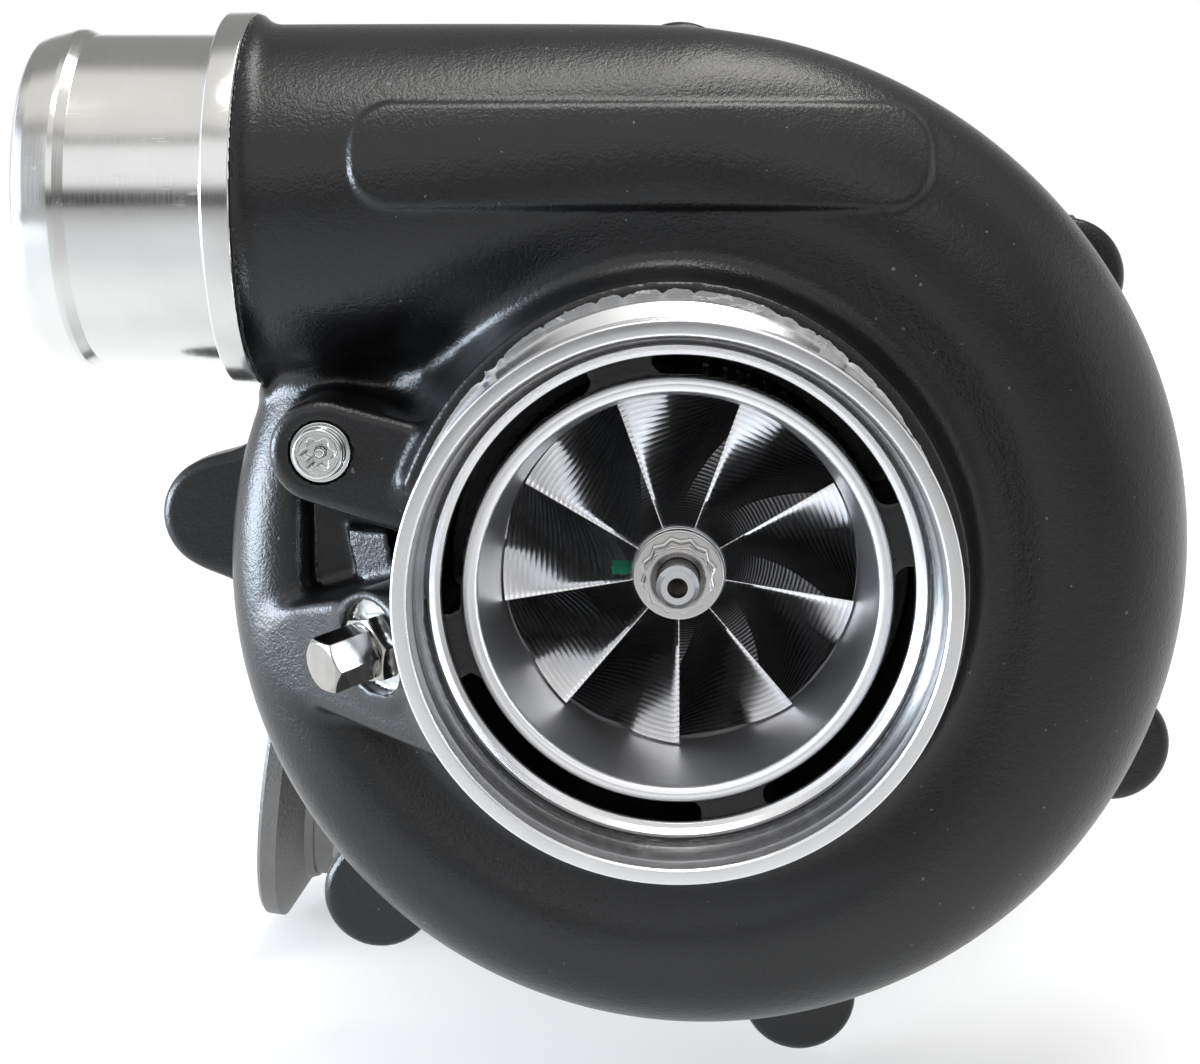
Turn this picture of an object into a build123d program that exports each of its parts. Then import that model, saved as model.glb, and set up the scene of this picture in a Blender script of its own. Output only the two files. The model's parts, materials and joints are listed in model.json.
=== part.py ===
from build123d import *
import math
import os

# ---------------------------------------------------------------------------
# Ball-bearing turbocharger with a V-band turbine housing.
# Frame: millimetres, +Z up. The shaft axis is the Y axis. The origin lies on
# the shaft axis in the plane of the compressor inlet's front face; +Y runs
# towards the turbine. The compressor outlet leaves towards -X at the top.
# The rotor turns anticlockwise as seen from the compressor inlet.
# ---------------------------------------------------------------------------

# ---- compressor housing: inlet ----
INLET_R = 50.8            # 4 inch hose collar, outside radius
COLLAR_LEN = 15.0         # machined length of the collar
FACE_IN_R = 47.3          # inner edge of the flat front face
COLLAR_BORE_R = 45.2      # bore of the collar behind its chamfer
CAVITY_END_Y = 49.0       # bottom of the recirculation groove
LIP_Y = 14.0              # front of the shroud ring's rounded lip
LIP_R = 39.5              # outside radius of the lip
SHROUD_WALL_R = 38.4      # outside of the shroud ring behind the lip
LIP_BORE_R = 36.4         # mouth of the shroud ring
BORE_R = 34.4             # shroud bore over the inducer
SLOT_Y0, SLOT_Y1 = 43.6, 46.6   # recirculation slot through the shroud ring

# ---- compressor wheel ----
IND_R = 34.0              # inducer radius
EXD_R = 44.0              # exducer radius
WHEEL_LE_Y = 38.0         # leading edge plane
WHEEL_BACK_Y = 67.8       # back face
HUB_NOSE_R = 9.0
BLADES_C = 9
TIP_Y0 = 61.9             # exducer blade edge, front corner
CLEAR = 0.4               # running clearance to the shroud

# ---- diffuser, scroll and rear flange ----
DIFF_Y0, DIFF_Y1 = 61.3, 66.5
REAR_Y = 84.0
REC_Y = 80.0              # bottom of the recess that takes the backplate rim
PILOT_R = 70.0
FLANGE_R = 89.6
FLANGE_Y0 = 72.0
LOBE_PCR = 96.0
LOBE_R = 12.4
LOBE_ANG = [90.0, 35.0, -22.0, -77.0, -131.6, -183.0]
WALL = 4.5

# ---- compressor outlet ----
OUT_Z = 70.1
OUT_Y = 55.0
OUT_TUBE_R = 31.75        # 2.5 inch hose spigot
OUT_BORE_R = 29.0
OUT_FLANGE_R = 35.9
OUT_FLANGE_X0, OUT_FLANGE_X1 = -81.6, -87.2
OUT_END_X = -123.4
BEAD_R = 32.8
BEAD_X0, BEAD_X1 = -115.0, -117.0

# ---- centre housing ----
BP_Y1 = 92.0              # rear face of the backplate
CH_Y1 = 149.5             # rear face of the centre housing
CART_R = 12.0
CART_Y0, CART_Y1 = 97.0, 133.0
SHAFT_R = 4.0
RACE_BORE_R = 4.5
BALL_R = 2.38
BALL_PCR = 8.3
BALL_Y = (101.0, 129.0)
N_BALLS = 8

# ---- turbine ----
TW_R_IN = 36.0            # turbine wheel inducer radius
TW_R_OUT = 31.5           # exducer radius
TW_BACK_Y = 151.4
TW_TIP_Y1 = 162.0
TW_END_Y = 187.0
BLADES_T = 10
T_SCROLL_Y = 172.0
T_IN_C = (-98.4, 172.0, -65.0)
T_IN_TILT = 7.7
T_FLANGE_R = 46.0
T_OUT_Y = 226.0
T_OUT_R = 48.0
T_OUT_BORE = 38.0

OUT = "parts"
os.makedirs(OUT, exist_ok=True)


# ---------------------------------------------------------------------------
# helpers
# ---------------------------------------------------------------------------
def rev(pts, y_axis=None):
    """Solid of revolution about the Y axis from (r, y) points."""
    w = Wire.make_polygon([Vector(r, y, 0) for r, y in pts], close=True)
    return Solid.revolve(Face(w), 360.0, Axis.Y)


def ring(r0, r1, y0, y1):
    return rev([(r0, y0), (r1, y0), (r1, y1), (r0, y1)])


def cyl(p, d, r, h):
    return Solid.make_cylinder(r, h, Plane(origin=Vector(*p), z_dir=Vector(*d)))


def cone(p, d, r0, r1, h):
    return Solid.make_cone(r0, r1, h, Plane(origin=Vector(*p), z_dir=Vector(*d)))


def prism(p, d, n, r, h, xd=None):
    """Regular prism with corner radius r."""
    pl = Plane(origin=Vector(*p), z_dir=Vector(*d)) if xd is None else Plane(origin=Vector(*p), x_dir=Vector(*xd), z_dir=Vector(*d))
    pts = [pl.from_local_coords(Vector(r * math.cos(2 * math.pi * k / n), r * math.sin(2 * math.pi * k / n), 0)) for k in range(n)]
    f = Face(Wire.make_polygon(pts, close=True))
    return Solid.extrude(f, Vector(*d).normalized() * h)


def revx(pts, yc, zc, ax=(-1, 0, 0), origin=None):
    """Solid of revolution about an axis through origin along ax, from (r, distance) points."""
    d = Vector(*ax).normalized()
    o = Vector(*(origin or (0, yc, zc)))
    e = Vector(0, 1, 0)
    w = Wire.make_polygon([o + e * r + d * t for r, t in pts], close=True)
    return Solid.revolve(Face(w), 360.0, Axis(o, d))


def polar(r, deg, y):
    a = math.radians(deg)
    return (r * math.cos(a), y, r * math.sin(a))


def lerp(t, xs, ys):
    if t <= xs[0]:
        return ys[0]
    for i in range(len(xs) - 1):
        if t <= xs[i + 1]:
            u = (t - xs[i]) / (xs[i + 1] - xs[i])
            return ys[i] + u * (ys[i + 1] - ys[i])
    return ys[-1]


def one(shape):
    """The solids of a boolean result as one shape."""
    s = shape.solids()
    return s[0] if len(s) == 1 else Compound(children=list(s))


def save(name, shape):
    n = shape.solids()
    export_step(shape, f"{OUT}/{name}.step")
    print(name, len(n), round(sum(x.volume for x in n)), all(x.is_valid for x in n), flush=True)


# ---------------------------------------------------------------------------
# scroll of the compressor: section centre and outer radius by angle
# ---------------------------------------------------------------------------
SC_ANG = [140, 160, 180, 200, 225, 250, 270, 300, 330, 360, 390, 420, 450]
SC_ROUT = [89.0, 89.8, 90.6, 91.2, 92.8, 94.8, 96.6, 98.5, 99.6, 100.2, 101.2, 102.2, 103.2]
SC_RAD = [9.0, 11.2, 13.4, 14.8, 16.2, 17.4, 18.3, 19.4, 20.4, 21.3, 22.2, 23.0, 23.8]


def scroll_ring(offset):
    """The curved part of the scroll, tongue to top, as a loft of circles."""
    secs = []
    for a, ro, r in zip(SC_ANG, SC_ROUT, SC_RAD):
        rc = ro - r
        yc = DIFF_Y1 - (r - WALL) - 0.6
        t = math.radians(a)
        c = Vector(rc * math.cos(t), yc, rc * math.sin(t))
        tan = Vector(-math.sin(t), 0, math.cos(t))
        secs.append(Wire.make_circle(r - offset, Plane(origin=c, x_dir=Vector(0, 1, 0), z_dir=tan)))
    return Solid.make_loft(secs, False)


def scroll_outlet(offset):
    """The straight part of the scroll that leaves towards -X at the top."""
    secs = []
    rl, zl, yl = SC_RAD[-1], SC_ROUT[-1] - SC_RAD[-1], DIFF_Y1 - (SC_RAD[-1] - WALL) - 0.6
    for x, u in ((0.5, 0.0), (-14, 0.08), (-30, 0.27), (-48, 0.56), (-62, 0.82), (-73, 0.96), (-83, 1.0)):
        r0, r1 = (rl, 34.3) if offset == 0 else (rl - WALL, OUT_BORE_R)
        c = Vector(x, yl + (OUT_Y - yl) * u, zl + (OUT_Z - zl) * u)
        secs.append(Wire.make_circle(r0 + (r1 - r0) * u - (0.05 if x > 0 else 0.0), Plane(origin=c, x_dir=Vector(0, 1, 0), z_dir=Vector(-1, 0, 0))))
    return Solid.make_loft(secs, False)


def lobed_disc(r_disc, r_lobe, pcr, y0, y1, fil):
    """Disc with six lobes, blended by concave fillets, between y0 and y1."""
    sk = Sketch() + Circle(r_disc)
    for a in LOBE_ANG:
        t = math.radians(a)
        sk += Pos(pcr * math.cos(t), pcr * math.sin(t)) * Circle(r_lobe)
    vs = [v for v in sk.vertices() if abs(math.hypot(v.X, v.Y) - r_disc) < 0.5]
    try:
        sk = fillet(vs, fil)
    except Exception as e:
        print("lobe fillet failed", e)
    # sketch plane (x, z): local x -> +X, local y -> +Z, normal -> -Y
    pl = Plane(origin=Vector(0, y1, 0), x_dir=Vector(1, 0, 0), z_dir=Vector(0, -1, 0))
    f = pl * sk
    return extrude(f, y1 - y0, dir=(0, -1, 0))


def shroud_y(r):
    """Axial place of the shroud contour over the wheel at radius r (quarter ellipse)."""
    a, b = EXD_R + 0.6 - IND_R, TIP_Y0 - 43.0
    u = min(1.0, max(0.0, (r - IND_R) / a))
    return 43.0 + b * math.sin(math.acos(1 - u))


def shroud_pts(n, gap):
    """Shroud contour points (r, y) from the inducer to the exducer, moved outwards by gap."""
    pts = []
    a, b = EXD_R + 0.6 - IND_R, TIP_Y0 - 43.0
    for k in range(n + 1):
        t = (math.pi / 2) * k / n
        r = IND_R + a * (1 - math.cos(t))
        y = 43.0 + b * math.sin(t)
        # normal pointing away from the wheel
        dr, dy = a * math.sin(t), b * math.cos(t)
        L = math.hypot(dr, dy)
        nr, ny = dy / L, -dr / L
        pts.append((r + nr * gap, y + ny * gap))
    return pts


def boss_pad(c0, r0, c1, r1, y0, y1):
    """Tapered pad: the hull of two circles in the XZ plane, between y0 and y1."""
    (x0, z0), (x1, z1) = c0, c1
    d = math.hypot(x1 - x0, z1 - z0)
    base = math.atan2(z1 - z0, x1 - x0)
    off = math.acos((r0 - r1) / d)
    p = []
    for s in (1, -1):
        a = base + s * off
        p.append(((x0 + r0 * math.cos(a), z0 + r0 * math.sin(a)), (x1 + r1 * math.cos(a), z1 + r1 * math.sin(a))))
    v = [Vector(p[0][0][0], y0, p[0][0][1]), Vector(p[0][1][0], y0, p[0][1][1]), Vector(p[1][1][0], y0, p[1][1][1]), Vector(p[1][0][0], y0, p[1][0][1])]
    quad = Solid.extrude(Face(Wire.make_polygon(v, close=True)), Vector(0, y1 - y0, 0))
    s = quad + cyl((x0, y0, z0), (0, 1, 0), r0, y1 - y0) + cyl((x1, y0, z1), (0, 1, 0), r1, y1 - y0)
    return s


# positions of the two small bosses beside the inlet
SENS_C = (-66.6, 24.2)      # sensor port screw, x and z
SENS_Y = 24.0               # face of its pad
BP_DIR = Vector(-math.sin(math.radians(47)), -math.cos(math.radians(47)), -0.18).normalized()
BP_BASE = Vector(-53.3, 26.5, -11.5)   # seat of the boost port fitting


def compressor_housing():
    body = rev([
        (30.0, 0), (INLET_R, 0), (INLET_R, COLLAR_LEN), (53.2, COLLAR_LEN + 1.2), (54.2, 30), (55.5, 44), (60, 56),
        (FLANGE_R - 4, FLANGE_Y0), (FLANGE_R - 4, REAR_Y), (30.0, REAR_Y),
    ])
    disc = lobed_disc(FLANGE_R, LOBE_R, LOBE_PCR, FLANGE_Y0, REAR_Y, 11.0)
    spigot = revx([
        (0, 77.0), (32.2, 77.0), (32.2, 81.6), (OUT_FLANGE_R, 81.6), (OUT_FLANGE_R, 86.7), (OUT_FLANGE_R - 0.5, 87.2), (OUT_TUBE_R, 87.4),
        (OUT_TUBE_R, 113.2), (BEAD_R, 115.0), (BEAD_R, 117.0), (OUT_TUBE_R, 120.2), (30.7, 122.9), (30.2, 123.4), (0, 123.4),
    ], OUT_Y, OUT_Z)
    pad = boss_pad(SENS_C, 9.9, (-44.0, 17.6), 10.8, SENS_Y, 56.0)
    bb = BP_BASE - BP_DIR * 26
    port_boss = cyl(tuple(bb), tuple(BP_DIR), 9.5, 26)
    rib = boss_pad((-66.0, 2.0), 3.0, (-48.0, 2.0), 5.0, 36.0, 58.0)
    h = body + scroll_ring(0.0)
    h = h + scroll_outlet(0.0)
    h = h + disc
    h = h + spigot
    h = h + pad + port_boss + rib
    # rear face and pilot
    h = h - cyl((0, REAR_Y, 0), (0, 1, 0), 90.0, 40)
    h = h - cyl((0, REC_Y, 0), (0, 1, 0), 87.0, 20)
    h = h - ring(0, PILOT_R + 0.1, DIFF_Y1, REAR_Y + 1)
    # diffuser gap
    h = h - ring(IND_R, 66.0, DIFF_Y0, DIFF_Y1 + 0.01)
    h = h - scroll_ring(WALL)
    h = h - scroll_outlet(WALL)
    h = h - revx([(0, 76.0), (25.5, 76.0), (OUT_BORE_R, 88.0), (OUT_BORE_R, 127.0), (0, 127.0)], OUT_Y, OUT_Z)
    # inlet, groove and shroud bore
    bore = [(0, -1), (FACE_IN_R + 0.5, -1), (FACE_IN_R, 0), (COLLAR_BORE_R, 2.6), (COLLAR_BORE_R, 30.0), (44.6, 40.0), (43.6, 46.0), (42.0, CAVITY_END_Y),
            (40.2, CAVITY_END_Y), (39.0, 46.6), (SHROUD_WALL_R, 43.0), (SHROUD_WALL_R, 18.0), (LIP_R, 17.0), (LIP_R, 15.4), (38.6, LIP_Y), (37.4, LIP_Y), (LIP_BORE_R, 15.4),
            (LIP_BORE_R - 0.2, 17.6), (BORE_R + 0.25, 30.0), (BORE_R, 34.0), (BORE_R, 43.0)]
    con = shroud_pts(8, CLEAR)
    bore += [p for p in con if p[1] > 43.05]
    bore += [(EXD_R + 1.2, DIFF_Y0 + 0.2), (EXD_R + 1.2, DIFF_Y1), (0, DIFF_Y1)]
    h = h - rev(bore)
    # recirculation slot, then the four struts that carry the shroud ring
    h = h - ring(BORE_R - 1.0, 40.5, SLOT_Y0, SLOT_Y1)
    for k in range(4):
        a = math.radians(104.5 - 90 * k)
        c = Vector(math.cos(a), 0, math.sin(a))
        t = Vector(-math.sin(a), 0, math.cos(a))
        p0 = c * (SHROUD_WALL_R - 1.2) - t * 2.6 + Vector(0, 21.0, 0)
        v = [p0, p0 + t * 5.2, p0 + t * 5.2 + c * 8.6, p0 + c * 8.6]
        h = h + Solid.extrude(Face(Wire.make_polygon(v, close=True)), Vector(0, 28.5, 0))
    # screw holes in the lobes, sensor port and boost port
    for a in LOBE_ANG:
        h = h - cyl(polar(LOBE_PCR, a, REAR_Y + 1), (0, -1, 0), 4.0, 10.5)
    h = h - cyl((SENS_C[0], SENS_Y - 1, SENS_C[1]), (0, 1, 0), 5.9, 2.2)
    h = h - cyl((SENS_C[0], SENS_Y - 1, SENS_C[1]), (0, 1, 0), 3.05, 16)
    h = h - cyl(tuple(BP_BASE + BP_DIR * 12), tuple(-BP_DIR), 8.2, 12.0)
    h = h - cyl(tuple(BP_BASE + BP_DIR * 12), tuple(-BP_DIR), 4.05, 23)
    h = h - cyl(tuple(BP_BASE - BP_DIR * 8), tuple(-BP_DIR), 1.5, 14)
    s = sorted(h.solids(), key=lambda q: -q.volume)
    print("housing solids", [round(q.volume) for q in s])
    return s[0]



# ---------------------------------------------------------------------------
# wheels: blades are lofts of trapezoids that follow the meridional passage
# ---------------------------------------------------------------------------
def blade(stations):
    """stations: (r_hub, y_hub, r_tip, y_tip, angle, half thickness hub, half thickness tip)."""
    ws = []
    for rh, yh, rt, yt, a, th, tt in stations:
        t = math.radians(a)
        e = Vector(math.cos(t), 0, math.sin(t))
        n = Vector(-math.sin(t), 0, math.cos(t))
        H, T = e * rh + Vector(0, yh, 0), e * rt + Vector(0, yt, 0)
        ws.append(Wire.make_polygon([H - n * th, H + n * th, T + n * tt, T - n * tt], close=True))
    return Solid.make_loft(ws, False)


def comp_hub_pt(s):
    """Hub contour of the compressor wheel, quarter ellipse from nose to rim."""
    t = s * math.pi / 2
    return 9.4 + (EXD_R - 9.4) * (1 - math.cos(t)), 37.6 + (66.2 - 37.6) * math.sin(t)


def comp_tip_pt(s):
    if s < 0.2:
        return IND_R, WHEEL_LE_Y + (43.0 - WHEEL_LE_Y) * s / 0.2
    t = (s - 0.2) / 0.8 * math.pi / 2
    return IND_R + (EXD_R - IND_R) * (1 - math.cos(t)), 43.0 + (TIP_Y0 - 43.0) * math.sin(t)


def comp_wrap(s):
    return -(46.0 * (1 - (1 - s) ** 1.7) + 12.0 * s ** 3)


def compressor_wheel():
    hub = [(SHAFT_R, 35.2), (8.7, 35.2)]
    hub += [comp_hub_pt(k / 10) for k in range(0, 11)]
    hub += [(EXD_R, WHEEL_BACK_Y), (16.0, WHEEL_BACK_Y), (12.5, WHEEL_BACK_Y + 0.4), (SHAFT_R, WHEEL_BACK_Y + 0.4)]
    w = rev(hub)
    for b in range(BLADES_C):
        st = []
        for k in range(11):
            s = k / 10
            rh, yh = comp_hub_pt(s)
            rt, yt = comp_tip_pt(s)
            t = s * math.pi / 2
            # sink the root below the hub surface
            rr, yy = rh - 1.2 * math.cos(t) , yh + 1.0 * math.sin(t)
            tt = 0.45 if 0 < k < 10 else 0.32
            th = 0.95 if 0 < k < 10 else 0.7
            st.append((rr, yy, rt, yt, -90.0 + 40.0 * b + comp_wrap(s), th, tt))
        w = w + blade(st)
    s = sorted(w.solids(), key=lambda q: -q.volume)
    print("wheel solids", [round(q.volume) for q in s])
    return s[0]


def turb_hub_pt(s):
    t = s * math.pi / 2
    return TW_R_IN - (TW_R_IN - 9.0) * math.sin(t), 153.2 + (TW_END_Y - 153.2) * (1 - math.cos(t))


def turb_tip_pt(s):
    if s > 0.6:
        return TW_R_OUT, 173.0 + (TW_END_Y - 173.0) * (s - 0.6) / 0.4
    t = s / 0.6 * math.pi / 2
    return TW_R_IN - (TW_R_IN - TW_R_OUT) * math.sin(t), TW_TIP_Y1 + (173.0 - TW_TIP_Y1) * (1 - math.cos(t))


def turbine_wheel_shaft():
    pts = [(0, 19.0), (3.1, 19.0), (SHAFT_R, 20.2), (SHAFT_R, CART_Y0), (RACE_BORE_R, CART_Y0), (RACE_BORE_R, 133.0), (7.6, 133.0), (7.6, 137.0), (10.6, 138.0),
           (10.6, 141.0), (8.9, 141.0), (8.9, 142.7), (10.6, 142.7), (10.6, 147.0), (11.6, 149.0), (13.0, TW_BACK_Y), (TW_R_IN, TW_BACK_Y)]
    pts += [turb_hub_pt(k / 10) for k in range(0, 11)]
    pts += [(9.0, TW_END_Y + 1.5), (8.0, TW_END_Y + 4.0), (0, TW_END_Y + 4.0)]
    w = rev(pts)
    for b in range(BLADES_T):
        st = []
        for k in range(9):
            s = k / 8
            rh, yh = turb_hub_pt(s)
            rt, yt = turb_tip_pt(s)
            t = s * math.pi / 2
            st.append((rh - 1.2 * math.sin(t), yh - 1.0 * math.cos(t), rt, yt, 12.0 + 36.0 * b - 40.0 * s ** 2.6, 1.2, 0.6))
        w = w + blade(st)
    w = w + prism((0, TW_END_Y + 4.0, 0), (0, 1, 0), 6, 6.5, 5.0)
    w = w - cyl((0, 18, 0), (0, 1, 0), 1.9, 5.0) - cone((0, 23, 0), (0, 1, 0), 1.9, 0.2, 1.2)
    s = sorted(w.solids(), key=lambda q: -q.volume)
    print("turbine wheel solids", [round(q.volume) for q in s])
    return s[0]


def compressor_nut():
    n = ring(0, 8.66, 33.0, 35.2)
    for k in (0, 30):
        a = math.radians(k)
        n = n + prism((0, 27.6, 0), (0, 1, 0), 6, 6.65, 5.5, xd=(math.cos(a), 0, math.sin(a)))
    n = n - cyl((0, 20, 0), (0, 1, 0), SHAFT_R, 20) - cone((0, 27.6, 0), (0, 1, 0), 4.8, SHAFT_R, 0.8)
    return one(n)


# ---------------------------------------------------------------------------
# small pieces on the compressor housing
# ---------------------------------------------------------------------------
def hex_screw(p, d, head_af, head_h, shank_r, shank_l, washer_r=None):
    """Hex head screw; p is the seat under the head, d points from the seat to the head."""
    d = Vector(*d).normalized()
    s = prism(p, tuple(d), 6, head_af / 2 / math.cos(math.pi / 6), head_h)
    if washer_r:
        s = s + cyl(p, tuple(d), washer_r, 1.4)
    s = s + cyl(tuple(Vector(*p) - d * shank_l), tuple(d), shank_r, shank_l + 0.5)
    return one(s)


def cap_screw(p, d, head_r, head_h, shank_r, shank_l, key_r, key_n=6):
    d = Vector(*d).normalized()
    s = cyl(p, tuple(d), head_r, head_h) + cyl(tuple(Vector(*p) - d * shank_l), tuple(d), shank_r, shank_l + 0.5)
    s = s - prism(tuple(Vector(*p) + d * (head_h - 2.2)), tuple(d), key_n, key_r, 3.0)
    return one(s)


def arc_plate(a0, a1, r0, r1, y0, y1, holes, hr, pcr):
    """Curved clamp plate with rounded ends round each hole."""
    sk = Sketch()
    sk += make_face([ThreePointArc((r1 * math.cos(math.radians(a0)), r1 * math.sin(math.radians(a0))),
                                   (r1 * math.cos(math.radians((a0 + a1) / 2)), r1 * math.sin(math.radians((a0 + a1) / 2))),
                                   (r1 * math.cos(math.radians(a1)), r1 * math.sin(math.radians(a1)))),
                     Line((r1 * math.cos(math.radians(a1)), r1 * math.sin(math.radians(a1))), (r0 * math.cos(math.radians(a1)), r0 * math.sin(math.radians(a1)))),
                     ThreePointArc((r0 * math.cos(math.radians(a1)), r0 * math.sin(math.radians(a1))),
                                   (r0 * math.cos(math.radians((a0 + a1) / 2)), r0 * math.sin(math.radians((a0 + a1) / 2))),
                                   (r0 * math.cos(math.radians(a0)), r0 * math.sin(math.radians(a0)))),
                     Line((r0 * math.cos(math.radians(a0)), r0 * math.sin(math.radians(a0))), (r1 * math.cos(math.radians(a0)), r1 * math.sin(math.radians(a0))))])
    pl = Plane(origin=Vector(0, y1, 0), x_dir=Vector(1, 0, 0), z_dir=Vector(0, -1, 0))
    s = extrude(pl * sk, y1 - y0, dir=(0, -1, 0))
    for a in holes:
        s = s - cyl(polar(pcr, a, y0 - 1), (0, 1, 0), hr, y1 - y0 + 2)
    return one(s)


def group(items):
    out = []
    for i in items:
        out += list(i.solids())
    return Compound(children=out)


LOBE_PAIRS = ((35.0, 90.0), (-77.0, -22.0), (-183.0, -131.6))


def backplate():
    b = rev([(11.0, 68.6), (45.0, 68.6), (45.0, DIFF_Y1), (PILOT_R, DIFF_Y1), (PILOT_R, 73.0), (67.4, 73.0), (67.4, 76.8), (PILOT_R, 76.8), (PILOT_R, REC_Y),
             (86.8, REC_Y), (86.8, REAR_Y + 0.2), (60.0, REAR_Y + 0.2), (50.0, 86.0), (46.0, BP_Y1), (11.0, BP_Y1)])
    for k in range(4):
        a = 45 + 90 * k
        b = b - cyl(polar(33.0, a, 68), (0, 1, 0), 5.3, 7.6) - cyl(polar(33.0, a, 68), (0, 1, 0), 3.1, 30)
    return one(b)


# ---------------------------------------------------------------------------
# centre housing with oil and coolant bosses
# ---------------------------------------------------------------------------
OIL_IN_Z = 46.0
DRAIN_Z = -46.0
WATER_X = 47.0


def bearing_housing():
    b = rev([(10.9, BP_Y1), (45.5, BP_Y1), (45.5, 99.0), (38.0, 101.0), (31.0, 106.0), (29.5, 120.0), (31.5, 134.0), (38.0, 139.0), (41.5, 142.0), (41.5, 146.0), (46.0, 146.0), (46.0, CH_Y1),
             (37.5, CH_Y1), (36.5, 146.0), (18.0, 146.0), (16.0, 147.8), (10.9, 147.8)])
    b = b + cyl((0, 113.0, 20), (0, 0, 1), 12.5, OIL_IN_Z - 20)
    b = b + Solid.make_box(50, 30, 24, Plane(origin=Vector(-25, 100.0, DRAIN_Z)))
    b = b + cyl((20, 119.0, 0), (1, 0, 0), 12.0, WATER_X - 20) + cyl((-20, 119.0, 0), (-1, 0, 0), 12.0, WATER_X - 20)
    b = b - ring(0, CART_R + 0.04, CART_Y0, CART_Y1) - ring(0, 20.0, BP_Y1 - 1, CART_Y0)
    b = b - ring(0, 11.3, CART_Y1 - 1, 136.5) - ring(0, 11.0, 136.0, 149.0) + ring(10.9, 12.5, 150.5, 150.6) - ring(0, 13, 150.4, 151)
    # oil feed, drain, coolant passages
    b = b - cyl((0, 113.0, OIL_IN_Z + 1), (0, 0, -1), 5.0, 13.0) - cyl((0, 113.0, OIL_IN_Z), (0, 0, -1), 2.0, 40.0)
    b = b - cyl((0, 115.0, DRAIN_Z - 1), (0, 0, 1), 9.0, 38.0)
    for sx in (1, -1):
        b = b - cyl((sx * (WATER_X + 1), 119.0, 0), (-sx, 0, 0), 6.5, 15.0) - cyl((sx * WATER_X, 119.0, 0), (-sx, 0, 0), 4.0, 27.0)
        b = b - cyl((sx * 19.0, 115.0, DRAIN_Z - 1), (0, 0, 1), 3.95, 15.0)
    for k in range(4):
        b = b - cyl(polar(33.0, 45 + 90 * k, BP_Y1 - 1), (0, 1, 0), 2.9, 10.0)
    # locating pin hole beside the cartridge
    b = b - cyl((11.0, 104.5, 0), (1, 0, 0), 1.5, 6.0)
    s = sorted(b.solids(), key=lambda q: -q.volume)
    print("bearing housing solids", [round(q.volume) for q in s])
    return s[0]


def race_groove(y):
    return Solid.make_torus(BALL_PCR, BALL_R + 0.04, Plane(origin=Vector(0, y, 0), z_dir=Vector(0, 1, 0)))


def outer_sleeve():
    s = rev([(10.0, CART_Y0), (CART_R, CART_Y0), (CART_R, 106.5), (CART_R - 0.6, 107.5), (CART_R - 0.6, 122.5), (CART_R, 123.5), (CART_R, CART_Y1), (10.0, CART_Y1)])
    for y in BALL_Y:
        s = s - race_groove(y)
    s = s - cyl((8.0, 104.5, 0), (1, 0, 0), 1.55, 6.0)
    s = s - cyl((0, 115.0, -8), (0, 0, -1), 3.0, 6.0)
    return one(s)


def inner_race(y0, y1, yb):
    return one(rev([(RACE_BORE_R, y0), (6.6, y0), (6.6, y1), (RACE_BORE_R, y1)]) - race_groove(yb))


def balls(yb, ph):
    return group([Solid.make_sphere(BALL_R, Plane(origin=Vector(*polar(BALL_PCR, ph + 360 / N_BALLS * k, yb)))) for k in range(N_BALLS)])


def cage(yb, ph):
    c = ring(7.35, 9.25, yb - 3.3, yb + 3.3)
    for k in range(N_BALLS):
        a = math.radians(ph + 360 / N_BALLS * k)
        c = c - cyl((5 * math.cos(a), yb, 5 * math.sin(a)), (math.cos(a), 0, math.sin(a)), BALL_R, 6)
    return one(c)


# ---------------------------------------------------------------------------
# turbine housing
# ---------------------------------------------------------------------------
TS_ANG = [-88, -60, -30, 0, 30, 60, 90, 120, 150, 180, 205, 228]
TS_RAD = [28.0, 26.6, 25.2, 23.8, 22.2, 20.6, 19.0, 17.2, 15.2, 13.2, 11.6, 10.2]
TS_ROUT = [97.0, 95.5, 93.5, 91.5, 89.0, 86.5, 84.0, 81.0, 78.0, 75.0, 72.5, 70.5]
T_WALL = 5.2


def t_ring(off):
    secs = []
    for a, r, ro in zip(TS_ANG, TS_RAD, TS_ROUT):
        t = math.radians(a)
        rc = ro - r
        yc = T_SCROLL_Y - (TS_RAD[0] - r) * 0.6
        secs.append(Wire.make_circle(r - off, Plane(origin=Vector(rc * math.cos(t), yc, rc * math.sin(t)), x_dir=Vector(0, 1, 0),
                                                    z_dir=Vector(-math.sin(t), 0, math.cos(t)))))
    return Solid.make_loft(secs, False)


def t_leg(off):
    """Inlet leg from the V-band flange to the start of the scroll."""
    d = Vector(math.cos(math.radians(T_IN_TILT)), 0, -math.sin(math.radians(T_IN_TILT)))
    c = Vector(*T_IN_C)
    rc = TS_ROUT[0] - TS_RAD[0]
    ta = math.radians(TS_ANG[0])
    end = Vector(rc * math.cos(ta), T_SCROLL_Y, rc * math.sin(ta))
    r0 = 34.5 if off == 0 else 27.5
    r1 = TS_RAD[0] - off
    secs = []
    for t, u in ((4.0, 0.0), (14.0, 0.02), (34.0, 0.25), (58.0, 0.65), (80.0, 0.94)):
        p = c + d * t
        w = u * u * (3 - 2 * u)
        q = Vector(p.X, T_SCROLL_Y, p.Z + (end.Z - (c + d * 100).Z) * w)
        tilt = math.radians(T_IN_TILT) * (1 - u)
        secs.append(Wire.make_circle(r0 + (r1 - r0) * u, Plane(origin=q, x_dir=Vector(0, 1, 0), z_dir=Vector(math.cos(tilt), 0, -math.sin(tilt)))))
    secs.append(Wire.make_circle(r1 + 0.03, Plane(origin=end, x_dir=Vector(0, 1, 0), z_dir=Vector(-math.sin(ta), 0, math.cos(ta)))))
    return Solid.make_loft(secs, False)


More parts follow.
